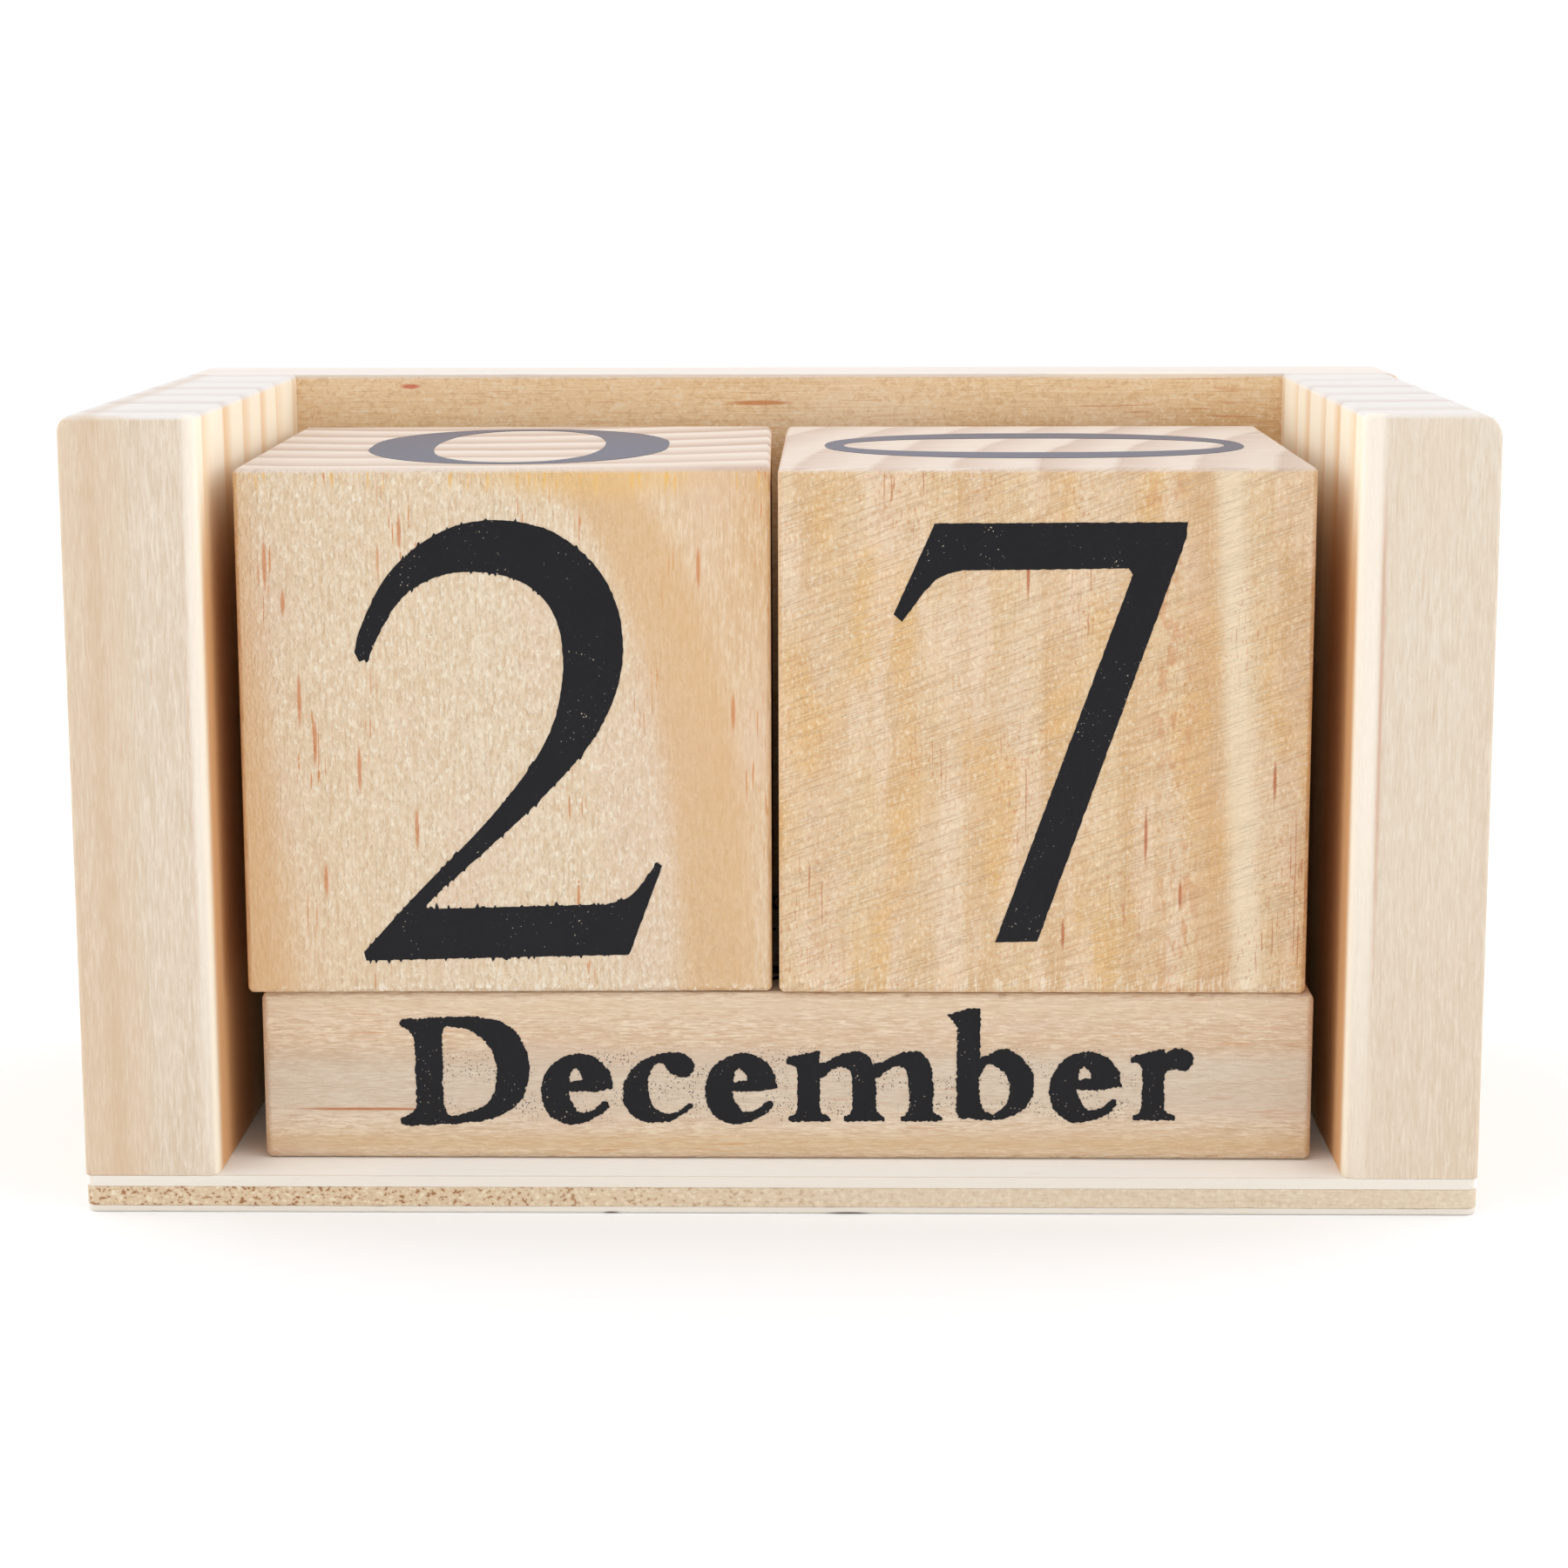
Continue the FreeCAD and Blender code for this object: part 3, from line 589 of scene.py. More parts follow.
# The letters of the month names, in millimetres from the left end of the base line: how far to the next
# letter, and the outlines. letter() makes the m and the u from the n.
LETTERS = {
    "D": (13.3, [
        "0.1 9.9, 0.6 10.2, 2 10.2, 4.4 10.35, 6.8 10.4, 9.3 10, 10.9 9.1, 11.9 7.4, 12.3 5.6, 12.1 3.9,"
        "11.5 2.3, 10.1 1.1, 8.1 0.35, 5.2 0, 2 -0.1, 0.3 -0.1 / 0 0.35, 0.8 0.8, 1.5 1.5, 1.6 4.1, 1.5 8,"
        "1.1 9.1, 0.3 9.6",
        "hole 4.15 9.3, 5.2 9.5, 6.8 9.2, 8.1 8.3, 8.95 7, 9.4 5.2, 9.1 3.2, 8.3 1.8, 6.8 1, 4.9 0.6,"
        "4.2 1.3, 4 3.65, 4 6.7",
    ]),
    "J": (7.4, [
        "1.9 10.3 / 6.6 10.3 / 6.6 10, 5.7 9.5, 5.5 8 / 5.5 2.2, 5 -0.4, 3.6 -1.9, 1.6 -2.1, 0.2 -1.3, 0.3 0,"
        "1.4 0.4, 2.3 -0.4, 2.8 -0.2, 2.9 2 / 2.9 8, 2.8 9.5, 1.9 10",
    ]),
    "F": (8.6, [
        "0 10.3 / 8.3 10.3 / 8.4 7.7 / 8 7.7, 7.2 9.2, 5.8 9.6 / 4 9.6 / 4 5.9 / 5.4 5.8, 6 6.8 / 6.4 6.8 /"
        "6.4 4 / 6 4, 5.4 5 / 4 5.1 / 4 2.2, 4.2 0.8 / 5.4 0.35 / 5.4 0.1 / 0 0.1 / 0 0.35, 1.2 0.8,"
        "1.5 2.2 / 1.5 8.2, 1.2 9.6, 0 10",
    ]),
    "M": (14.6, [
        "0 10.3 / 3.7 10.3 / 6.9 3.4 / 10 10.3 / 13.6 10.3 / 13.6 10, 12.6 9.5, 12.4 8.2 / 12.5 2.2,"
        "12.7 0.8, 13.8 0.35 / 13.8 0.1 / 8.9 0.1 / 8.9 0.35, 9.9 0.8, 10 2.2 / 9.9 7.6 / 6.5 0 / 6.1 0 /"
        "2.5 7.7 / 2.5 2.2, 2.7 0.8, 3.7 0.35 / 3.7 0.1 / 0 0.1 / 0 0.35, 1 0.8, 1.2 2.2 / 1.3 8.2,"
        "1.1 9.5, 0 10",
    ]),
    "A": (11.5, [
        "5.2 10.6 / 6 10.6 / 9.8 1.4, 10.2 0.6, 11 0.35 / 11 0.1 / 6.2 0.1 / 6.2 0.35, 7.1 0.7, 7.1 1.4 /"
        "6.5 3 / 3.3 3 / 2.8 1.6, 2.7 0.7, 3.6 0.35 / 3.6 0.1 / 0 0.1 / 0 0.35, 0.8 0.6, 1.4 1.5",
        "hole 3.6 3.7 / 6.2 3.7 / 4.9 7.2",
    ]),
    "S": (8.4, [
        "6.4 10.2 / 6.5 7.5 / 6.1 7.5, 5.2 9.1, 3.7 9.8, 2.4 9.1, 2.5 7.9, 4.4 6.6, 6.4 5.2, 7.2 3.4,"
        "6.7 1.3, 5.1 0.1, 3.3 -0.1, 0.7 0.6 / 0.4 3.4 / 0.8 3.4, 1.7 1.3, 3.3 0.6, 4.7 1.3, 4.6 2.7, 2.8 4,"
        "0.9 5.4, 0.2 7.4, 1 9.4, 3 10.5, 4.9 10.1",
    ]),
    "O": (12.4, [
        "5.8 10.6, 8.9 9.8, 11 7.6, 11.5 5.2, 10.8 2.4, 8.6 0.4, 5.8 -0.3, 2.8 0.4, 0.7 2.5, 0.1 5.1,"
        "0.8 7.9, 2.9 9.9",
        "hole 5.4 9.9, 7.3 8.6, 8.6 5.8, 8.7 3, 7.6 1, 6.2 0.5, 4.4 1.5, 3.1 4.2, 2.9 7.2, 3.8 9.2",
    ]),
    "N": (12.4, [
        "0 10.3 / 3.3 10.3 / 9.3 3.7 / 9.3 8.2, 9.1 9.5, 8 10 / 8 10.3 / 11.8 10.3 / 11.8 10, 10.8 9.5,"
        "10.6 8.2 / 10.6 -0.1 / 9.9 -0.1 / 2.6 8 / 2.6 2.2, 2.8 0.8, 3.9 0.35 / 3.9 0.1 / 0 0.1 / 0 0.35,"
        "1 0.8, 1.2 2.2 / 1.3 8.4, 1.1 9.5, 0 10",
    ]),
    "a": (7.9, [
        "0.7 4.8, 0.6 5.9, 1.6 6.6, 3.4 6.85, 5.2 6.4, 6 5, 6 1.8, 6.3 1.1 / 7.2 1.3 / 7.3 0.8, 6.5 0.1,"
        "5.4 -0.1, 4.4 0.4 / 4.05 0.9, 3.2 0.2, 2 -0.1, 0.7 0.4, 0.1 1.5, 0.4 2.7, 1.6 3.5 / 4 4.3 / 4 5.2,"
        "3.6 5.9, 2.9 5.9, 2.6 5.3, 2.1 4.5, 1.2 4.2",
        "hole 4 3.5 / 2.8 3.1, 2.1 2.3, 2.2 1.4, 2.9 0.95, 4 1.5",
    ]),
    "b": (9.4, [
        "0 10.4 / 2.1 11 / 2.9 11 / 2.9 6, 4.9 6.9, 6.5 6.45, 7.75 5, 8.05 3.7, 7.75 2.2, 6.7 0.9, 4.9 0.25,"
        "2.4 0.25, 1.2 0.35 / 0.85 1.1 / 0.85 9.2, 0.5 9.8",
        "hole 2.85 4.35, 3.4 5.5, 4.1 5.65, 5 5.2, 5.7 4.35, 5.95 2.9, 5.5 1.5, 4.7 0.8, 3.9 0.7, 3.1 1.3,"
        "2.85 3",
    ]),
    "c": (7.6, [
        "6.5 6.1, 5.9 6.6, 4.9 6.8, 3.4 6.6, 2 6.1, 0.8 5.1, 0.15 3.7, 0 2.3, 0.4 1.3, 1.2 0.5, 2.6 0,"
        "4.1 0.1, 5.5 0.7 / 6.5 1.6 / 6.4 1.75, 5.5 1.15, 4.4 0.7, 3.4 0.95, 2.6 1.8, 2.3 3, 2.3 4.4,"
        "2.7 5.5, 3.4 5.9, 4.1 5.5, 4.7 4.8, 5.7 4.5, 6.4 4.8, 6.7 5.5",
    ]),
    "e": (7.7, [
        "6.8 3.4 / 6.6 4.7, 5.9 5.7, 4.9 6.4, 3.6 6.7, 2.3 6.4, 1.2 5.7, 0.4 4.5, 0.1 3.2, 0.25 2, 0.7 0.95,"
        "1.7 0.15, 2.9 -0.1, 4.2 0.1, 5.5 0.7 / 6.4 1.55 / 6.35 2, 5.9 1.9, 5.1 1.2, 4.2 0.9, 3.4 1.1,"
        "2.8 2.1 / 2.5 3.1 / 4.9 3.1",
        "hole 2.6 3.9, 2.8 4.9, 3.3 5.4, 3.9 4.9 / 4.15 4.05",
    ]),
    "g": (7.8, [
        "6.9 6.6 / 4.9 6.2, 3.4 6.85, 1.5 6.2, 0.2 4.6, 0 2.9, 0.7 1.1, 2.2 0.1, 3.8 0.2 / 4.9 1 / 4.9 -0.6,"
        "4.5 -2.3, 3.3 -3, 2.3 -2.7, 1.6 -1.7, 0.5 -2.1, 0.5 -3.1, 1.9 -3.7, 4 -3.7, 6 -2.9, 6.9 -0.9",
        "hole 4.9 4.6, 4.2 5.6, 3.3 5.6, 2.4 4.8, 2.1 3.3, 2.5 1.6, 3.5 0.95, 4.5 1.6, 4.9 2.6",
    ]),
    "h": (9.8, [TALL_STEM, ARCH]),
    "i": (4.7, [STEM, "2 10.5, 3.1 10.1, 3.3 9.2, 2.7 8.3, 1.6 8.1, 0.8 8.9, 0.9 9.9"]),
    "l": (4.6, [TALL_STEM]),
    "m": (15.2, []),
    "n": (9.8, [STEM, ARCH]),
    "o": (8.3, [
        "3.7 6.9, 5.9 6.2, 7.2 4.6, 7.3 2.9, 6.3 0.8, 4.2 -0.15, 1.8 0.2, 0.3 1.9, 0.05 3.8, 1.2 5.9",
        "hole 3.2 6.2, 4.4 5.5, 5.1 3.8, 5.2 2.1, 4.5 0.75, 3.9 0.6, 2.8 1.4, 2.2 3.2, 2.2 4.9, 2.6 5.9",
    ]),
    "p": (8.9, [
        "0 5.8, 0.2 6.3 / 2.9 6.95 / 2.95 5.95, 4.9 6.9, 6.9 6.2, 8 4.6, 8.1 3.2, 7.7 1.7, 6.6 0.4, 5 -0.1 /"
        "3 0.2 / 3 -2.3, 3.2 -2.9 / 4 -3.3 / 4 -3.6 / 0.2 -3.6 / 0.2 -3.3, 0.95 -2.9, 1.05 -1.5 /"
        "1.05 4.9, 0.8 5.5",
        "hole 3 4.6, 3.6 5.4, 4.4 5.5, 5.4 4.7, 5.95 3.1, 5.6 1.5, 4.7 0.6, 3.7 0.75, 3.05 1.7",
    ]),
    "r": (6.3, [
        STEM,
        "2.7 5.9, 3.6 6.8, 4.4 6.95, 5.4 6.6, 5.7 6.1, 5.4 5.2, 4.9 4.95, 4 5.1, 3.2 4.9 / 2.7 4.1",
    ]),
    "s": (6.5, [
        "5 6.5 / 5.15 4.6 / 4.8 4.6, 4.1 5.7, 3 6.1, 2.2 5.6, 2.5 4.8, 4.4 3.8, 5.5 2.8, 5.5 1.3, 4.5 0.2,"
        "2.7 -0.15, 0.6 0.3 / 0.3 2.3 / 0.7 2.3, 1.4 1.1, 2.7 0.6, 3.6 1, 3.6 1.8, 2.4 2.7, 0.9 3.7, 0.5 5.1,"
        "1.2 6.3, 2.8 6.85",
    ]),
    "t": (5.7, [
        "0 6.1, 1.2 7, 2.2 8.4 / 2.9 8.5 / 2.9 6.6 / 4.9 6.6 / 4.9 5.8 / 2.9 5.8 / 2.9 2, 3.2 1.1, 4.2 1.1 /"
        "5 1.5 / 5.2 1.1, 4.2 0.1, 2.8 -0.1, 1.5 0.3, 1 1.5 / 1 5.8 / 0 5.8",
    ]),
    "u": (9.8, []),
    "v": (8.2, [
        "0 6.6 / 3.9 6.6 / 3.9 6.3, 3.2 5.9, 3.3 5 / 4.7 1.9 / 5.9 4.9, 6 5.9, 5.2 6.3 / 5.2 6.6 / 7.9 6.6 /"
        "7.9 6.3, 7.2 5.9 / 4.5 -0.2 / 3.3 -0.2 / 0.8 5.8, 0.5 6.1 / 0 6.3",
    ]),
    "y": (8.3, [
        "0 6.6 / 3.9 6.6 / 3.9 6.3, 3.2 5.9, 3.3 5 / 4.8 2.1 / 6 4.9, 6.1 5.9, 5.3 6.3 / 5.3 6.6 / 8 6.6 /"
        "8 6.3, 7.3 5.9 / 4.4 -0.9, 3.4 -2.8, 2 -3.6, 0.6 -3.3, 0.5 -2.2, 1.3 -1.7, 2.3 -2, 3.1 -1.6 /"
        "3.6 -0.4 / 0.8 5.8, 0.5 6.1 / 0 6.3",
    ]),
}
DIGIT_STEP = 0.11    # between the points of a digit's edge
RIPPLE = 0.06    # how far a digit's edge wavers
HAIRS_ACROSS, HAIRS_ALONG = 3.6, 0.2    # hairs to a millimetre, across the grain and along it
HAIR_FROM = 0.18    # noise below this draws no hair
LETTER_STEP = 0.14    # between those of a letter's
LETTER_GAP = 0.2    # added between one letter and the next
SIDE_ROOM = 0.6    # how much of a letter's step lies beside it
INK_SPREAD = 0.1    # how far a letter's ink ran past its stamp
INK_LIFT, INK_THICK = 0.004, 0.03    # how far a film of ink is off its wood, and its own thickness
SAME_SPOT = 1e-5    # points of an outline nearer than this are one
INK_ROOM = 0.04    # how far a printed face lies back, so that its ink touches nothing
BASE_LINE = -4.45    # from the middle of a bar's face
DEEP_BASE_LINE = -3.3    # for a name with a letter that hangs below its line
HANGING = {"g", "p", "y"}
WORD_TILT = math.radians(0.35)    # the month's name was stamped a little askew


def anticlockwise(points):
    return points if area(points) > 0 else points[::-1]


def shape(outlines, step):
    """Outlines as text made into pairs of a list of points and whether it is filled."""
    made = []
    for outline in outlines:
        filled = not outline.startswith("hole")
        made.append((anticlockwise(trace(outline.removeprefix("hole"), step)), filled))
    return made


def digit(name, seed, hairs):
    return [(bristled(points, seed, hairs), filled) for points, filled in shape(DIGITS[name], DIGIT_STEP)]


def letter(name, step):
    """The shape of a letter. An m has a second arch, and a u is an n turned over."""
    if name == "m":
        arch = anticlockwise([(x + ARCH_PITCH, y) for x, y in trace(ARCH, step)])
        return letter("n", step) + [(arch, True)]
    if name == "u":
        width = LETTERS["n"][0] - SIDE_ROOM
        upright = letter("n", step)
        return [([(width - x, X_HEIGHT - y) for x, y in points], filled) for points, filled in upright]
    return shape(LETTERS[name][1], step)


def word(text, seed, middle=0.0):
    """A month's name, centred on a face, with its base line below the middle."""
    base_line = DEEP_BASE_LINE if HANGING & set(text) else BASE_LINE
    width = sum(LETTERS[name][0] + LETTER_GAP for name in text) - SIDE_ROOM
    at = middle - width / 2
    prints = []
    for name in text:
        for points, filled in letter(name, LETTER_STEP):
            placed = [(x + at, y + base_line + (x + at) * WORD_TILT) for x, y in points]
            prints.append((blotted(placed, seed, INK_SPREAD if filled else -INK_SPREAD), filled))
        at += LETTERS[name][0] + LETTER_GAP
    return prints


def inked_sheet(outlines):
    """The flat sheet of ink that outlines enclose: inside more filled ones than holes."""
    spots, faces, turns = [], [], []
    for points, filled in outlines:
        faces.append(list(range(len(spots), len(spots) + len(points))))
        turns.append(1 if filled else -1)
        spots += [Vector(point) for point in points]
    corners, _, triangles, _, _, enclosing = delaunay_2d_cdt(spots, [], faces, 1, SAME_SPOT, True)
    sheet = bmesh.new()
    verts = [sheet.verts.new((spot.x, spot.y, INK_LIFT)) for spot in corners]
    for triangle, inside in zip(triangles, enclosing):
        if sum(turns[number] for number in inside) > 0:
            sheet.faces.new([verts[index] for index in triangle])
    loose = [vert for vert in sheet.verts if not vert.link_faces]
    bmesh.ops.delete(sheet, geom=loose, context="VERTS")
    return sheet


def film(name, prints, body, finish):
    """A thin film of ink. prints is pairs of a shape in millimetres and a matrix that puts it on a face, with
    the face's outward direction as its Z."""
    whole = bmesh.new()
    for outlines, placing in prints:
        sheet = inked_sheet(outlines)
        tops = corners_in(bmesh.ops.extrude_face_region(sheet, geom=sheet.faces[:]))
        bmesh.ops.translate(sheet, vec=(0, 0, INK_THICK), verts=tops)
        bmesh.ops.recalc_face_normals(sheet, faces=sheet.faces)
        sheet.transform(placing @ Matrix.Scale(MM, 4))
        part = bpy.data.meshes.new(name + "_part")
        sheet.to_mesh(part)
        sheet.free()
        whole.from_mesh(part)
        bpy.data.meshes.remove(part)
    piece(name, whole, body, finish, "ink")


def on_face(middle, outward, upward):
    """A matrix that puts a flat print on a face: its X to the right, its Y upward, its Z outward."""
    outward, upward = Vector(outward), Vector(upward)
    sideways = upward.cross(outward)
    matrix = Matrix((sideways, upward, outward)).transposed().to_4x4()
    matrix.translation = middle
    return matrix


# ---------------------------------------------------------------- the woods

def corners_of(node):
    low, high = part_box(node)
    return Vector(low), Vector(high)


def middle_of(node):
    low, high = corners_of(node)
    return (low + high) / 2


def turn_of(node):
    """How far a cube is turned about Z, from how much wider than high its box is."""
    low, high = corners_of(node)
    ratio = (high.x - low.x) / (high.z - low.z)
    return math.asin(min(1, ratio / math.sqrt(2))) - math.pi / 4


RESIN = colour(208, 134, 78)
RED_BROWN = colour(186, 106, 62)
CUBE_SIDE_SHADE = colour(214, 168, 114)    # painted shade: the tan of the cubes' left and right faces, for the warm shade in the gaps beside them

ALONG_X = (0, 90, 0)    # turns a grain that runs up into one that runs along the front
SKIN_DEPTH, SKIN_FULL = 0.6, 0.15    # how far below a face its own colour begins, and is at its full
ARRIS_DEPTH = 0.45    # how far behind a side board's front the colour of its inner face begins


def halves_of(node):
    """Half a block's size along each axis, in millimetres."""
    low, high = corners_of(node)
    return (high - low) / 2 / MM


def half_of(node):
    """Half a block's height, in millimetres."""
    return halves_of(node).z


def skin(wood, value, outer):
    """A share that is 1 on the side of a board at a place along one of its directions, and 0 below it."""
    side = math.copysign(1, outer)
    return wood.band(value, outer - side * SKIN_DEPTH, outer - side * SKIN_FULL)


# Painted shade: the cubes' left and right faces, which face the narrow gaps, are tinted tan so that the gaps
# read warm and dark.
def painted_side_shade(wood, half):
    for reach in (-half, half):
        wood.tint(wood.both(skin(wood, wood.x, reach), 0.7), CUBE_SIDE_SHADE)


# Streaks of resin on the cubes' fronts: their places in X and Z from the middle, and half their height.
LEFT_STREAKS = (
    (-22.2, 16.0, 3.2), (-19.3, 3.2, 3.4), (-17.9, -0.6, 2.8), (-20.6, 12.5, 1.6), (-13.8, -3.4, 3.0),
    (-8.5, -9.0, 2.6), (-17.2, -14.0, 2.2), (21.4, 2.0, 2.4), (18.2, 15.6, 2.6), (-9.6, 19.0, 2.2),
)
RIGHT_STREAKS = (
    (-1.7, 15.5, 3.6), (9.6, -9.8, 3.4), (12.9, -15.4, 1.8), (21.6, -4.4, 2.4), (1.9, -19.2, 2.0),
)


def left_cube_pine():
    """A cube cut along the rings: one broad pale ring on the front, with woolly grain, and tan beside it."""
    half = half_of("tens_cube")
    wood = Timber(
        "left_cube_pine", middle_of("tens_cube"), colour(232, 213, 186), colour(213, 168, 116), spacing=8.4,
        pith=(-5, 85.6), turn=(0, 0, math.degrees(turn_of("tens_cube"))), lean=(0.25, 0.0), wobble=0.6,
        late_from=0.3, evenness=0.5, seed=1.0,
    )
    front, top = skin(wood, wood.y, -half), skin(wood, wood.z, half)
    painted_side_shade(wood, half)
    wood.fibres(colour(244, 230, 206), colour(208, 172, 130), 0.25)
    wood.nap(colour(246, 230, 204), colour(200, 158, 112), 0.3)
    wood.clouds(colour(228, 200, 176), (9, 9, 24), 0.4)
    wood.dashes(RESIN, (0.2, 0.2, 4.0), 0.72, 0.9, crowd=0.5)
    wool = wood.noise(wood.seeded, (0.32, 3, 0.62), 2.0, 0.55, 0.5)
    pale = wood.both(wood.band(wood.dark, 0.6, 0.1), front)
    wood.press(wood.both(wool, pale), 3.4)
    wood.shade(wool, 0.52, 0.7, colour(249, 239, 218), pale, 0.62)
    wood.shade(wool, 0.48, 0.3, colour(212, 181, 140), pale, 0.45)
    tan = colour(216, 172, 120)
    rise = wood.math("EXPONENT", wood.math("MULTIPLY_ADD", wood.z, 1 / 15, -half / 15))
    wood.stripe(wood.math("MULTIPLY_ADD", rise, 13.0, wood.x), 20.4, 7.0, tan, 0.62, 1.6)
    wood.stripe(wood.math("MULTIPLY_ADD", wood.z, 0.08, wood.x), -26.0, 7.5, tan, 0.6, 2.0)
    wood.spot((8, -half, half), (15, 4, 4.0), colour(230, 188, 126), 0.6)
    wood.spots(LEFT_STREAKS, -half, (0.26, 2), colour(204, 126, 72), 0.75)
    torn = wood.noise(wood.seeded, (0.35, 3, 4), 1.0)
    high = wood.both(wood.band(wood.z, half - 3.0, half - 0.8), front)
    wood.shade(torn, 0.6, 0.68, colour(234, 186, 108), high, 0.8)
    low = wood.both(wood.band(wood.z, 1.1 - half, 0.5 - half), pale)
    wood.torn_edge(low, (0.45, 3, 0.5), colour(252, 244, 230), 0.75)
    wood.end_grain_and_top_light(top, colour(236, 221, 207), colour(196, 163, 140))
    return wood.done()


def right_cube_pine():
    """A cube cut across the rings: golden stripes up the front, and broad soft bands over the top."""
    middle, half = middle_of("units_cube"), half_of("units_cube")
    wood = Timber(
        "right_cube_pine", middle, colour(225, 196, 156), colour(214, 175, 128), spacing=7.4, pith=(190, -45),
        lean=(0.04, 0.0), wobble=0.5, late_from=0.35, evenness=0.6, seed=2.0,
    )
    front, top = skin(wood, wood.y, -half), skin(wood, wood.z, half)
    painted_side_shade(wood, half)
    wood.fibres(colour(238, 216, 182), colour(204, 160, 114), 0.28, size=(0.18, 0.18, 6))
    wood.clouds(colour(230, 206, 180), (5, 5, 30), 0.45)
    wood.clouds(colour(224, 178, 112), (4, 4, 15), 0.6, 0.5, 0.72)
    wood.clouds(colour(238, 214, 188), (2.5, 2.5, 12), 0.45, 0.5, 0.7)
    fleck = wood.noise(wood.seeded, (0.3, 0.3, 0.5), 1.0, 0.6, 0.4)
    wood.shade(fleck, 0.54, 0.7, colour(248, 230, 202), front, 0.46)
    wood.shade(fleck, 0.46, 0.3, colour(204, 152, 98), front, 0.4)
    wood.saw_marks(middle, (0, -20, 0), (5, 3, 0.13), colour(204, 146, 92), 0.22, 0.4, front)
    wood.saw_marks(middle, (0, -25, 0), (4, 3, 0.12), colour(244, 226, 198), 0.25, -0.3, front)
    lean = wood.math("MULTIPLY_ADD", wood.z, 0.05, wood.x)
    wood.stripe(lean, 18.1, 2.6, colour(240, 222, 192), 0.7, 0.9)
    wood.stripe(lean, 15.0, 3.2, colour(210, 168, 126), 0.35, 1.2)
    stain = wood.band(wood.noise(wood.seeded, (0.8, 0.8, 2.2), 2.0, 0.6), 0.5, 0.62)
    wood.stripe(lean, 12.0, 3.6, colour(206, 142, 94), wood.both(stain, front, 0.5), 1.4)
    wood.dashes(RED_BROWN, (0.2, 0.2, 4.5), 0.7, 0.7, crowd=0.55)
    wood.dashes(colour(198, 130, 84), (0.25, 0.25, 0.7), 0.66, 0.45, crowd=0.5)
    wood.spots(RIGHT_STREAKS, -half, (0.22, 2), colour(184, 98, 54), 0.8)
    low = wood.both(wood.band(wood.z, 2.4 - half, 1.2 - half), front)
    wood.torn_edge(low, (0.3, 3, 1.8), colour(246, 232, 210), 0.55)
    wood.end_grain_and_top_light(top, colour(229, 212, 197), colour(206, 180, 162))
    wood.saw_marks(middle, (0, 0, 4), (7, 0.25, 3), colour(246, 236, 224), 0.5, 0.3, top)
    return wood.done()


def side_pine(name, node, seed, pith_x, inward, early):
    """A side board, sawn so that its rings cross its thickness: fine stripes on its inner face, which looks
    inward along X. The inner face is painted pale cream, as painted light for the light it catches. Below the
    rim it is painted darker and warmer downward, and orange-brown in a strip behind its front: painted shade
    of the gaps beside the cubes."""
    half = halves_of(node)
    wood = Timber(
        name, middle_of(node), early, colour(210, 176, 140), spacing=10.4, pith=(pith_x, 150),
        lean=(0.0, 0.03), wobble=1.2, late_from=0.6, evenness=0.35, seed=seed,
    )
    wood.fibres(colour(242, 230, 210), colour(208, 180, 146), 0.28)
    wood.nap(colour(246, 235, 218), colour(206, 180, 148), 0.38, size=(0.22, 0.22, 2.2))
    wood.clouds(colour(228, 206, 182), (7, 12, 40), 0.35)
    wood.dashes(RESIN, (0.2, 0.2, 4.0), 0.76, 0.45, crowd=0.55)
    face = skin(wood, wood.x, inward * half.x)
    behind = wood.both(face, wood.band(wood.y, ARRIS_DEPTH - half.y, ARRIS_DEPTH + 2.8 - half.y))
    shade_below_rim = wood.both(behind, wood.band(wood.z, half.z - 3, half.z - 16))
    gap_shade_strip = wood.both(behind, wood.band(wood.y, -4, -16), wood.band(wood.z, half.z - 4, half.z - 20))
    # Painted light: the inner face is painted nearly white cream, standing in for the light that falls on it
    # from above.
    wood.tint(face, wood.mix(wood.dark, colour(255, 244, 222), colour(240, 204, 160)))
    # Painted shade: below the rim the inner face turns gold, then orange-brown in a strip behind its front,
    # standing in for the warm shade in the gaps beside the cubes.
    wood.tint(wood.both(shade_below_rim, 0.62), colour(236, 192, 134))
    wood.tint(wood.both(gap_shade_strip, 0.78), colour(222, 160, 102))
    wood.end_grain_and_top_light(skin(wood, wood.z, half.z), colour(236, 230, 225), colour(222, 210, 204))
    return wood, skin(wood, wood.y, -half.y)


def arris_highlight(wood, half, inward, width, line):
    """A painted highlight: a pale strip along the inner front edge of a side board, where the rounded edge
    catches the light, stronger towards the top, with a thin line of late wood beside it. line is how strong
    that line is."""
    arris = wood.band(wood.y, ARRIS_DEPTH + 1 - half.y, ARRIS_DEPTH - half.y)
    # The painted highlight grows stronger towards the top, where more light falls.
    upper = wood.band(wood.z, -42, 6)
    pale = wood.both(arris, wood.math("MULTIPLY_ADD", upper, 0.5, 0.3))
    wood.stripe(wood.x, inward * (half.x - width / 2), width, colour(250, 239, 224), pale, 0.5)
    middle = wood.both(arris, wood.band(wood.z, -26, 4), wood.band(wood.z, 34, 20), line)
    wood.stripe(wood.x, inward * (half.x - width - 0.25), 0.3, colour(204, 154, 126), middle, 0.26)


def left_side_pine():
    wood, front = side_pine("left_side_pine", "left_side", 3.0, 8, 1, colour(223, 206, 185))
    wood.shade(wood.x, 1.2, -1.2, colour(218, 188, 154), front, 0.35)
    arris_highlight(wood, halves_of("left_side"), 1, 1.2, 0.2)
    leaning = wood.math("MULTIPLY_ADD", wood.z, 0.01, wood.x)
    wood.stripe(leaning, -3.2, 1.4, colour(206, 170, 132), 0.3, 0.8)
    return wood.done()


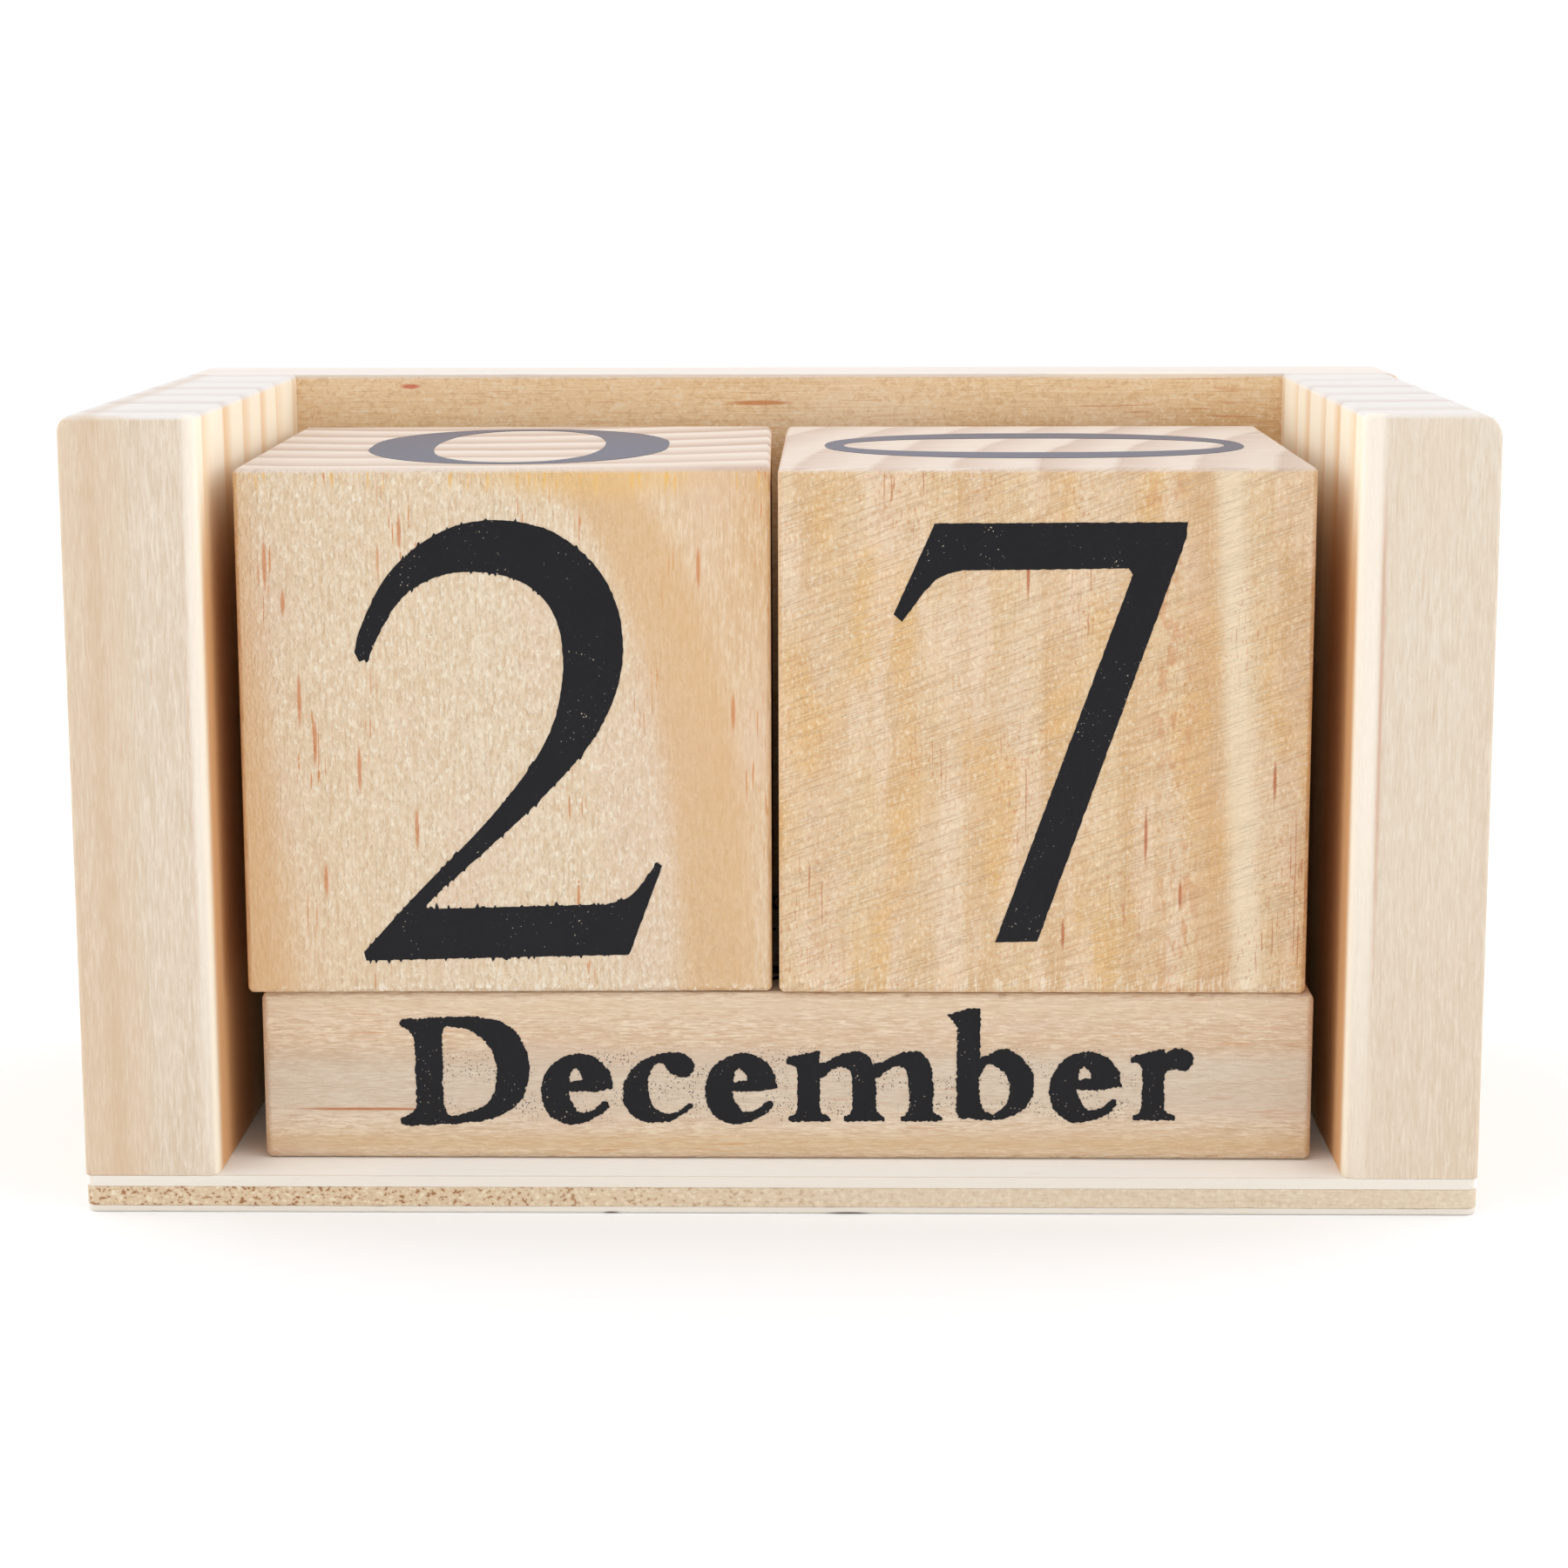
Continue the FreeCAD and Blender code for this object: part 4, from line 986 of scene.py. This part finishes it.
def right_side_pine():
    wood, front = side_pine("right_side_pine", "right_side", 4.0, -14, -1, colour(226, 212, 194))
    wood.tint(wood.both(front, 0.3), colour(228, 212, 190))
    arris_highlight(wood, halves_of("right_side"), -1, 2.0, 0.75)
    return wood.done()


def back_pine():
    """The back board, with its grain along the front and little figure."""
    wood = Timber(
        "back_pine", middle_of("back_panel"), colour(236, 212, 178), colour(214, 180, 140), spacing=13.0,
        pith=(60, 150), turn=ALONG_X, lean=(0.02, 0.0), wobble=0.8, late_from=0.55, evenness=0.4, seed=5.0,
    )
    half = halves_of("back_panel")
    # Painted light and shade: the inner face is given the golden tan it shows in the warm shade of the case,
    # made lighter to stand in for the light that reaches it.
    inner_face_light_and_shade = skin(wood, wood.y, -half.y)
    wood.tint(wood.both(inner_face_light_and_shade, 0.9), wood.mix(wood.dark, colour(246, 214, 168), colour(230, 188, 134)))
    wood.fibres(colour(250, 232, 204), colour(208, 164, 114), 0.3)
    wood.clouds(colour(246, 224, 192), (10, 10, 34), 0.5)
    fuzz = wood.noise(wood.seeded, (0.5, 0.5, 0.7), 1.0, 0.5, 1.0)
    wood.shade(fuzz, 0.53, 0.7, colour(252, 236, 210), 0.5)
    wood.shade(fuzz, 0.47, 0.3, colour(206, 162, 112), 0.35)
    wood.dashes(RESIN, (0.25, 0.25, 6.0), 0.74, 0.5, crowd=0.5)
    wood.spot((-32.8, -half.y, -3), (0.36, 2.5, 4.5), RESIN, 0.85)
    wood.spot((-34.6, -half.y, -40.7), (0.36, 2.5, 1.4), colour(214, 110, 84), 0.85)
    # Painted light: the top of the back board is painted nearly white, for the strong light on it.
    wood.tint(wood.both(skin(wood, wood.x, -half.z), 0.85), colour(238, 231, 225))
    wood.spot((-half.z, -half.y, 38), (0.8, 2.5, 15), colour(252, 238, 218), 0.7)
    return wood.done()


def bar_pine(name, node, seed, figured):
    """A month bar, with its grain along it. A figured one has a grey band behind its letters, a yellow one
    below them, a streak of resin, and grit from the stamp."""
    wood = Timber(
        name, middle_of(node), colour(230, 208, 183), colour(216, 183, 150), spacing=7.5, pith=(-40, 46),
        turn=ALONG_X, lean=(0.012, 0.0), wobble=0.5, late_from=0.45, evenness=0.5, seed=seed,
    )
    wood.fibres(colour(242, 226, 202), colour(200, 164, 126), 0.4, size=(0.15, 0.15, 2.6))
    wood.nap(colour(248, 232, 206), colour(200, 165, 126), 0.48, size=(0.17, 0.17, 1.2), depth=1.2)
    wood.clouds(colour(222, 194, 172), (4, 4, 26), 0.45)
    wood.dashes(RESIN, (0.2, 0.2, 4.0), 0.74, 0.5, crowd=0.5)
    if figured:
        height = wood.math("MULTIPLY", wood.x, -1.0)
        wood.stripe(height, -0.6, 6.0, colour(205, 190, 172), 0.5, 1.6)
        wood.stripe(height, -6.6, 1.6, colour(214, 178, 126), 0.5, 1.0)
        wood.stripe(height, 6.9, 1.6, colour(228, 202, 170), 0.4, 0.8)
        wood.spot((3.3, -halves_of(node).y, -40.3), (0.2, 2.5, 9.0), colour(186, 112, 62), 0.85)
        grit = wood.noise(wood.seeded, (0.17, 0.17, 0.17), 0.0)
        near = wood.band(wood.noise(wood.seeded, (2.5, 2.5, 4)), 0.42, 0.6)
        behind = wood.band(wood.math("ABSOLUTE", wood.math("ADD", height, 0.8)), 4.4, 2.6)
        beside = wood.band(wood.math("ABSOLUTE", wood.z), 36, 31)
        wood.shade(grit, 0.68, 0.73, colour(66, 58, 56), near, behind, beside, 0.85)
    return wood.done()


def ply(name, node, seed, early, late, edge_tone, coarse=False, chips=()):
    """One ply of the base board. The core is coarse and porous where it is cut across. A chip in the lower
    front edge is a place along X and half a length."""
    half = halves_of(node)
    front = -half.y
    wood = Timber(
        name, middle_of(node), early, late, spacing=16, pith=(90, 60), seed=seed, turn=ALONG_X, wobble=1.2,
        evenness=0.4,
    )
    wood.fibres(colour(246, 240, 228), late, 0.22)
    if coarse:
        pores = wood.noise(wood.seeded, (0.42, 0.42, 0.5), 2.0, 0.6)
        left = wood.band(wood.z, 20, -38)
        edge = skin(wood, wood.y, front)
        open_edge = wood.both(left, edge)
        wood.tint(wood.both(open_edge, 0.7), edge_tone)
        wood.shade(pores, 0.48, 0.3, colour(238, 224, 200), edge, 0.5)
        wood.shade(pores, 0.52, 0.7, colour(190, 158, 120), edge, 0.3)
        wood.shade(pores, 0.56, 0.66, colour(160, 108, 66), open_edge, 0.95)
        wood.shade(pores, 0.45, 0.3, colour(242, 228, 200), open_edge, 0.7)
        wood.press(wood.both(pores, open_edge), -2.0)
    else:
        wood.tint(wood.both(skin(wood, wood.y, front), 0.8), edge_tone)
        wood.clouds(colour(244, 238, 228), (10, 10, 30), 0.3)
        wood.dashes(colour(222, 190, 136), (0.2, 0.2, 3.0), 0.76, 0.5, crowd=0.55)
    for x, reach in chips:
        wood.spot((half.z, front, x), (0.28, 1.2, reach), colour(92, 66, 50), 0.95)
    return wood.done()


# ---------------------------------------------------------------- the calendar

OUTER_TOP = 1.5 * MM    # the rounding of the case's upper outer corners
RIGHT_OUTER_TOP = 2.3 * MM    # the right front one is rounder
INNER_FRONT = 1.0 * MM    # of the side boards' inner front edges
EASED = 0.5 * MM    # of the other edges that a hand meets
CRISP = 0.07 * MM    # of the edges left as they were sawn
BASE_ROUND = 1.0 * MM    # of the base board's corners
CUBE_ROUND, BAR_ROUND = 0.5 * MM, 0.7 * MM
BOARD_STEP = 1.5 * MM    # between the cuts that give a board's edges room for wear
BOARD_WEAR, BOARD_CHIP = 0.2 * MM, 2.0 * MM    # how deep the wear of a board's edges is, and how long a chip
PLY_CHIP = 1.2 * MM
BLOCK_STEPS = (0.5 * MM, 0.9 * MM, 0.9 * MM)    # between the cuts of a cube or a bar
BLOCK_WEAR, BLOCK_CHIP = 0.6 * MM, 0.9 * MM
LOWER_PLY_CHIPS = ((-15.9, 1.1), (6.5, 2.8))    # where each is along the front, and half its length, in mm


def side_board(node, outer, inner, outer_round, finish, seed):
    low, high = corners_of(node)
    rounds = [
        (outer_round, lambda sides: {outer, "top"} <= sides),
        (INNER_FRONT, lambda sides: {inner, "front"} <= sides),
        (EASED, lambda sides: sides & {"front", "top"} and not sides & {"rear", "bottom"}),
        (CRISP, lambda sides: True),
    ]
    bm = block(low, high, rounds, (0, BOARD_STEP, BOARD_STEP))
    wear(bm, BOARD_WEAR, BOARD_CHIP, seed)
    smooth_rounds(bm)
    piece(node + "_board", bm, "case", finish, "side_pine", node)


def back_board(finish):
    low, high = corners_of("back_panel")
    rounds = [
        (OUTER_TOP, lambda sides: "top" in sides and sides & {"left", "right"}),
        (EASED, lambda sides: "rear" in sides and sides & {"left", "right", "top"} or sides == {"rear"}),
        (CRISP, lambda sides: True),
    ]
    bm = block(low, high, rounds, (BOARD_STEP, 0, BOARD_STEP))
    wear(bm, BOARD_WEAR, BOARD_CHIP, 21.0)
    for node in ("back_brads_left", "back_brads_right"):
        recess(bm, 1, 1, high.y, heads_of(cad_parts[node], 1, 1))
    smooth_rounds(bm)
    piece("back_board", bm, "case", finish, "back_pine", "back_panel")


def base_ply(node, finish, slot, rounds, steps, depth, seed, hollows=()):
    low, high = corners_of(node)
    bm = block(low, high, rounds + [(CRISP, lambda sides: True)], steps)
    wear(bm, depth, PLY_CHIP, seed)
    recess(bm, 2, -1, low.z, hollows)
    smooth_rounds(bm)
    piece(node + "_board", bm, "case", finish, slot, node)


def at_corner(sides):
    return sides & {"left", "right"} and sides & {"front", "rear"}


def base_plies():
    heads = []
    for node in ("base_brads_left", "base_brads_right", "base_brads_rear"):
        heads += heads_of(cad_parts[node], 2, -1)
    white = ply(
        "face_ply_wood", "base_face_ply", 6.0, early=colour(255, 254, 250), late=colour(247, 241, 230),
        edge_tone=colour(232, 222, 207),
    )
    core = ply(
        "core_ply_wood", "base_core_ply", 7.0, early=colour(221, 202, 176), late=colour(208, 184, 152),
        edge_tone=colour(217, 189, 152), coarse=True,
    )
    grey = ply(
        "lower_ply_wood", "base_lower_ply", 8.0, early=colour(232, 224, 212), late=colour(216, 202, 182),
        edge_tone=colour(232, 223, 210), chips=LOWER_PLY_CHIPS,
    )
    corners = (BASE_ROUND, at_corner)
    lower_edges = (0.3 * MM, lambda sides: "bottom" in sides)
    fine = (0.8 * MM, BOARD_STEP, 0)
    finest = (0.5 * MM, BOARD_STEP, 0.45 * MM)
    base_ply("base_face_ply", white, "ply_face", [corners], fine, 0.1 * MM, 31.0)
    base_ply("base_core_ply", core, "ply_core", [corners], finest, 0.1 * MM, 37.0)
    base_ply("base_lower_ply", grey, "ply_face", [corners, lower_edges], fine, 0.15 * MM, 41.0, heads)


def loose_block(node, rounding, turn, finish, slot, seed):
    """A cube or a bar in the place of its CAD node, with its size taken before it is turned."""
    low, high = corners_of(node)
    room = Vector((INK_ROOM, INK_ROOM, INK_ROOM)) * MM
    middle, half = (low + high) / 2, (high - low) / 2 - room
    if turn:
        half.x = half.y = half.z
    bm = block(middle - half, middle + half, [(rounding, lambda sides: True)], BLOCK_STEPS)
    wear(bm, BLOCK_WEAR, BLOCK_CHIP, seed)
    smooth_rounds(bm)
    bmesh.ops.rotate(bm, cent=middle, matrix=Matrix.Rotation(turn, 3, "Z"), verts=bm.verts)
    piece(node + "_wood", bm, node, finish, slot, node)
    return middle, half


def printed_block(node, turn, finish, slot, seed, prints, rounding=CUBE_ROUND):
    """A loose piece and the ink on it. prints is pairs of a shape and the face it is on: outward, and up."""
    middle, half = loose_block(node, rounding, turn, finish, slot, seed)
    turned = Matrix.Rotation(turn, 3, "Z")
    placed = []
    for outlines, outward, upward in prints:
        outward, upward = Vector(outward), Vector(upward)
        spot = middle + turned @ (outward * abs(outward.dot(half)))
        placed.append((outlines, on_face(spot, turned @ outward, turned @ upward)))
    film(node + "_print", placed, node, INK)


INK = printing_ink("printed_ink")
FRONT, REAR, LEFT, RIGHT, TOP, UNDER = (0, -1, 0), (0, 1, 0), (-1, 0, 0), (1, 0, 0), (0, 0, 1), (0, 0, -1)

side_board("left_side", "left", "right", OUTER_TOP, left_side_pine(), 51.0)
side_board("right_side", "right", "left", RIGHT_OUTER_TOP, right_side_pine(), 57.0)
back_board(back_pine())
base_plies()

# The digits of a cube: which one, its seed, how long its edge's hairs are, the face it is on, and its up.
TENS_DIGITS = (
    ("2", 1.0, 0.9, FRONT, TOP),
    ("0", 2.0, 0.1, TOP, REAR),
    ("5", 3.0, 0.6, REAR, TOP),
    ("3", 4.0, 0.1, LEFT, TOP),
    ("1", 5.0, 0.1, RIGHT, TOP),
    ("4", 6.0, 0.1, UNDER, FRONT),
)
UNITS_DIGITS = (
    ("7", 11.0, 0.05, FRONT, TOP),
    ("0", 12.0, 0.1, TOP, RIGHT),
    ("8", 13.0, 0.1, REAR, TOP),
    ("6", 14.0, 0.2, LEFT, TOP),
    ("1", 15.0, 0.2, RIGHT, TOP),
    ("2", 16.0, 0.1, UNDER, FRONT),
)


def stamped(digits):
    return [(digit(name, seed, hairs), outward, upward) for name, seed, hairs, outward, upward in digits]


printed_block(
    "tens_cube", turn_of("tens_cube"), left_cube_pine(), "cube_pine", 3.0, stamped(TENS_DIGITS)
)
printed_block("units_cube", 0.0, right_cube_pine(), "cube_pine", 17.0, stamped(UNITS_DIGITS))

MONTHS = {
    "front_month_bar": ("December", "September", "October", "November"),
    "middle_month_bar": ("January", "February", "March", "April"),
    "rear_month_bar": ("May", "June", "July", "August"),
}
BAR_FACES = ((FRONT, TOP), (TOP, REAR), (REAR, UNDER), (UNDER, FRONT))
FRONT_BAR_SHIFT = 0.95    # the front bar's names are stamped a little to the right
for number, (node, names) in enumerate(MONTHS.items()):
    in_front = number == 0
    shift = FRONT_BAR_SHIFT if in_front else 0.0
    printed_block(
        node, 0.0, bar_pine(node + "_pine", node, 9.0 + number, in_front), "bar_pine", 60.0 + 7 * number,
        [(word(name, 20.0 + number, shift), *face) for name, face in zip(names, BAR_FACES)],
        rounding=BAR_ROUND,
    )

# The brads are the only CAD nodes that still show, so all the nodes may have their steel.
steel = brushed_steel("brad_steel")
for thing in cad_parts.values():
    if not thing.data.materials:
        thing.data.materials.append(steel)
    for place in thing.material_slots:
        place.material = steel

# ---------------------------------------------------------------- floor, light and camera

FLOOR_SIZE = 12
FLOOR_WHITE = (0.985, 0.99, 1, 1)
bpy.ops.mesh.primitive_plane_add(size=FLOOR_SIZE)
floor = bpy.context.active_object
floor.name = "floor"
floor.data.materials.append(plain("floor_white", FLOOR_WHITE, 0.9))

scene = bpy.context.scene
scene.view_settings.view_transform = "Standard"

HORIZON, ZENITH, BESIDE = 0.41, 0.60, 1.56    # the light from all round, from above and from both sides
SKY_WHITE = (0.975, 0.985, 1, 1)
BACKDROP_WHITE, BACKDROP_STRENGTH = (1, 1, 1, 1), 1.05


def studio(name):
    """A white studio: a plain white backdrop, and soft light that comes from above and from both sides."""
    world = bpy.data.worlds.new(name)
    world.use_nodes = True
    sky = Nodes(world.node_tree)
    direction = sky.parts(sky.make("TexCoord").outputs["Generated"])
    above = sky.math("MAXIMUM", direction["Z"], 0)
    across = sky.math("MULTIPLY", direction["X"], direction["X"])
    strength = sky.math("MULTIPLY_ADD", above, ZENITH, sky.math("MULTIPLY_ADD", across, BESIDE, HORIZON))
    light = sky.tree.nodes["Background"]
    sky.put(light.inputs["Color"], SKY_WHITE)
    sky.put(light.inputs["Strength"], strength)
    backdrop = sky.make("Background", {"Color": BACKDROP_WHITE, "Strength": BACKDROP_STRENGTH})
    seen = sky.make("LightPath").outputs["Is Camera Ray"]
    either = sky.make("MixShader", {0: seen, 1: light.outputs[0], 2: backdrop.outputs[0]})
    sky.put(sky.tree.nodes["World Output"].inputs["Surface"], either.outputs[0])
    return world


scene.world = studio("studio")

LENS = 79.2    # in millimetres
CAMERA_PLACE = Vector((6.35, -349.6, 98.4)) * MM
PITCH, YAW, ROLL = math.radians(-10.31), math.radians(1.06), math.radians(-0.15)
camera_data = bpy.data.cameras.new("camera")
camera_data.lens = LENS
camera_data.clip_start = 0.01
camera = bpy.data.objects.new("camera", camera_data)
nod = Matrix.Rotation(math.pi / 2 + PITCH, 4, "X")
aim = Matrix.Rotation(YAW, 4, "Z") @ nod @ Matrix.Rotation(ROLL, 4, "Z")
camera.matrix_world = Matrix.Translation(CAMERA_PLACE) @ aim
scene.collection.objects.link(camera)
scene.camera = camera
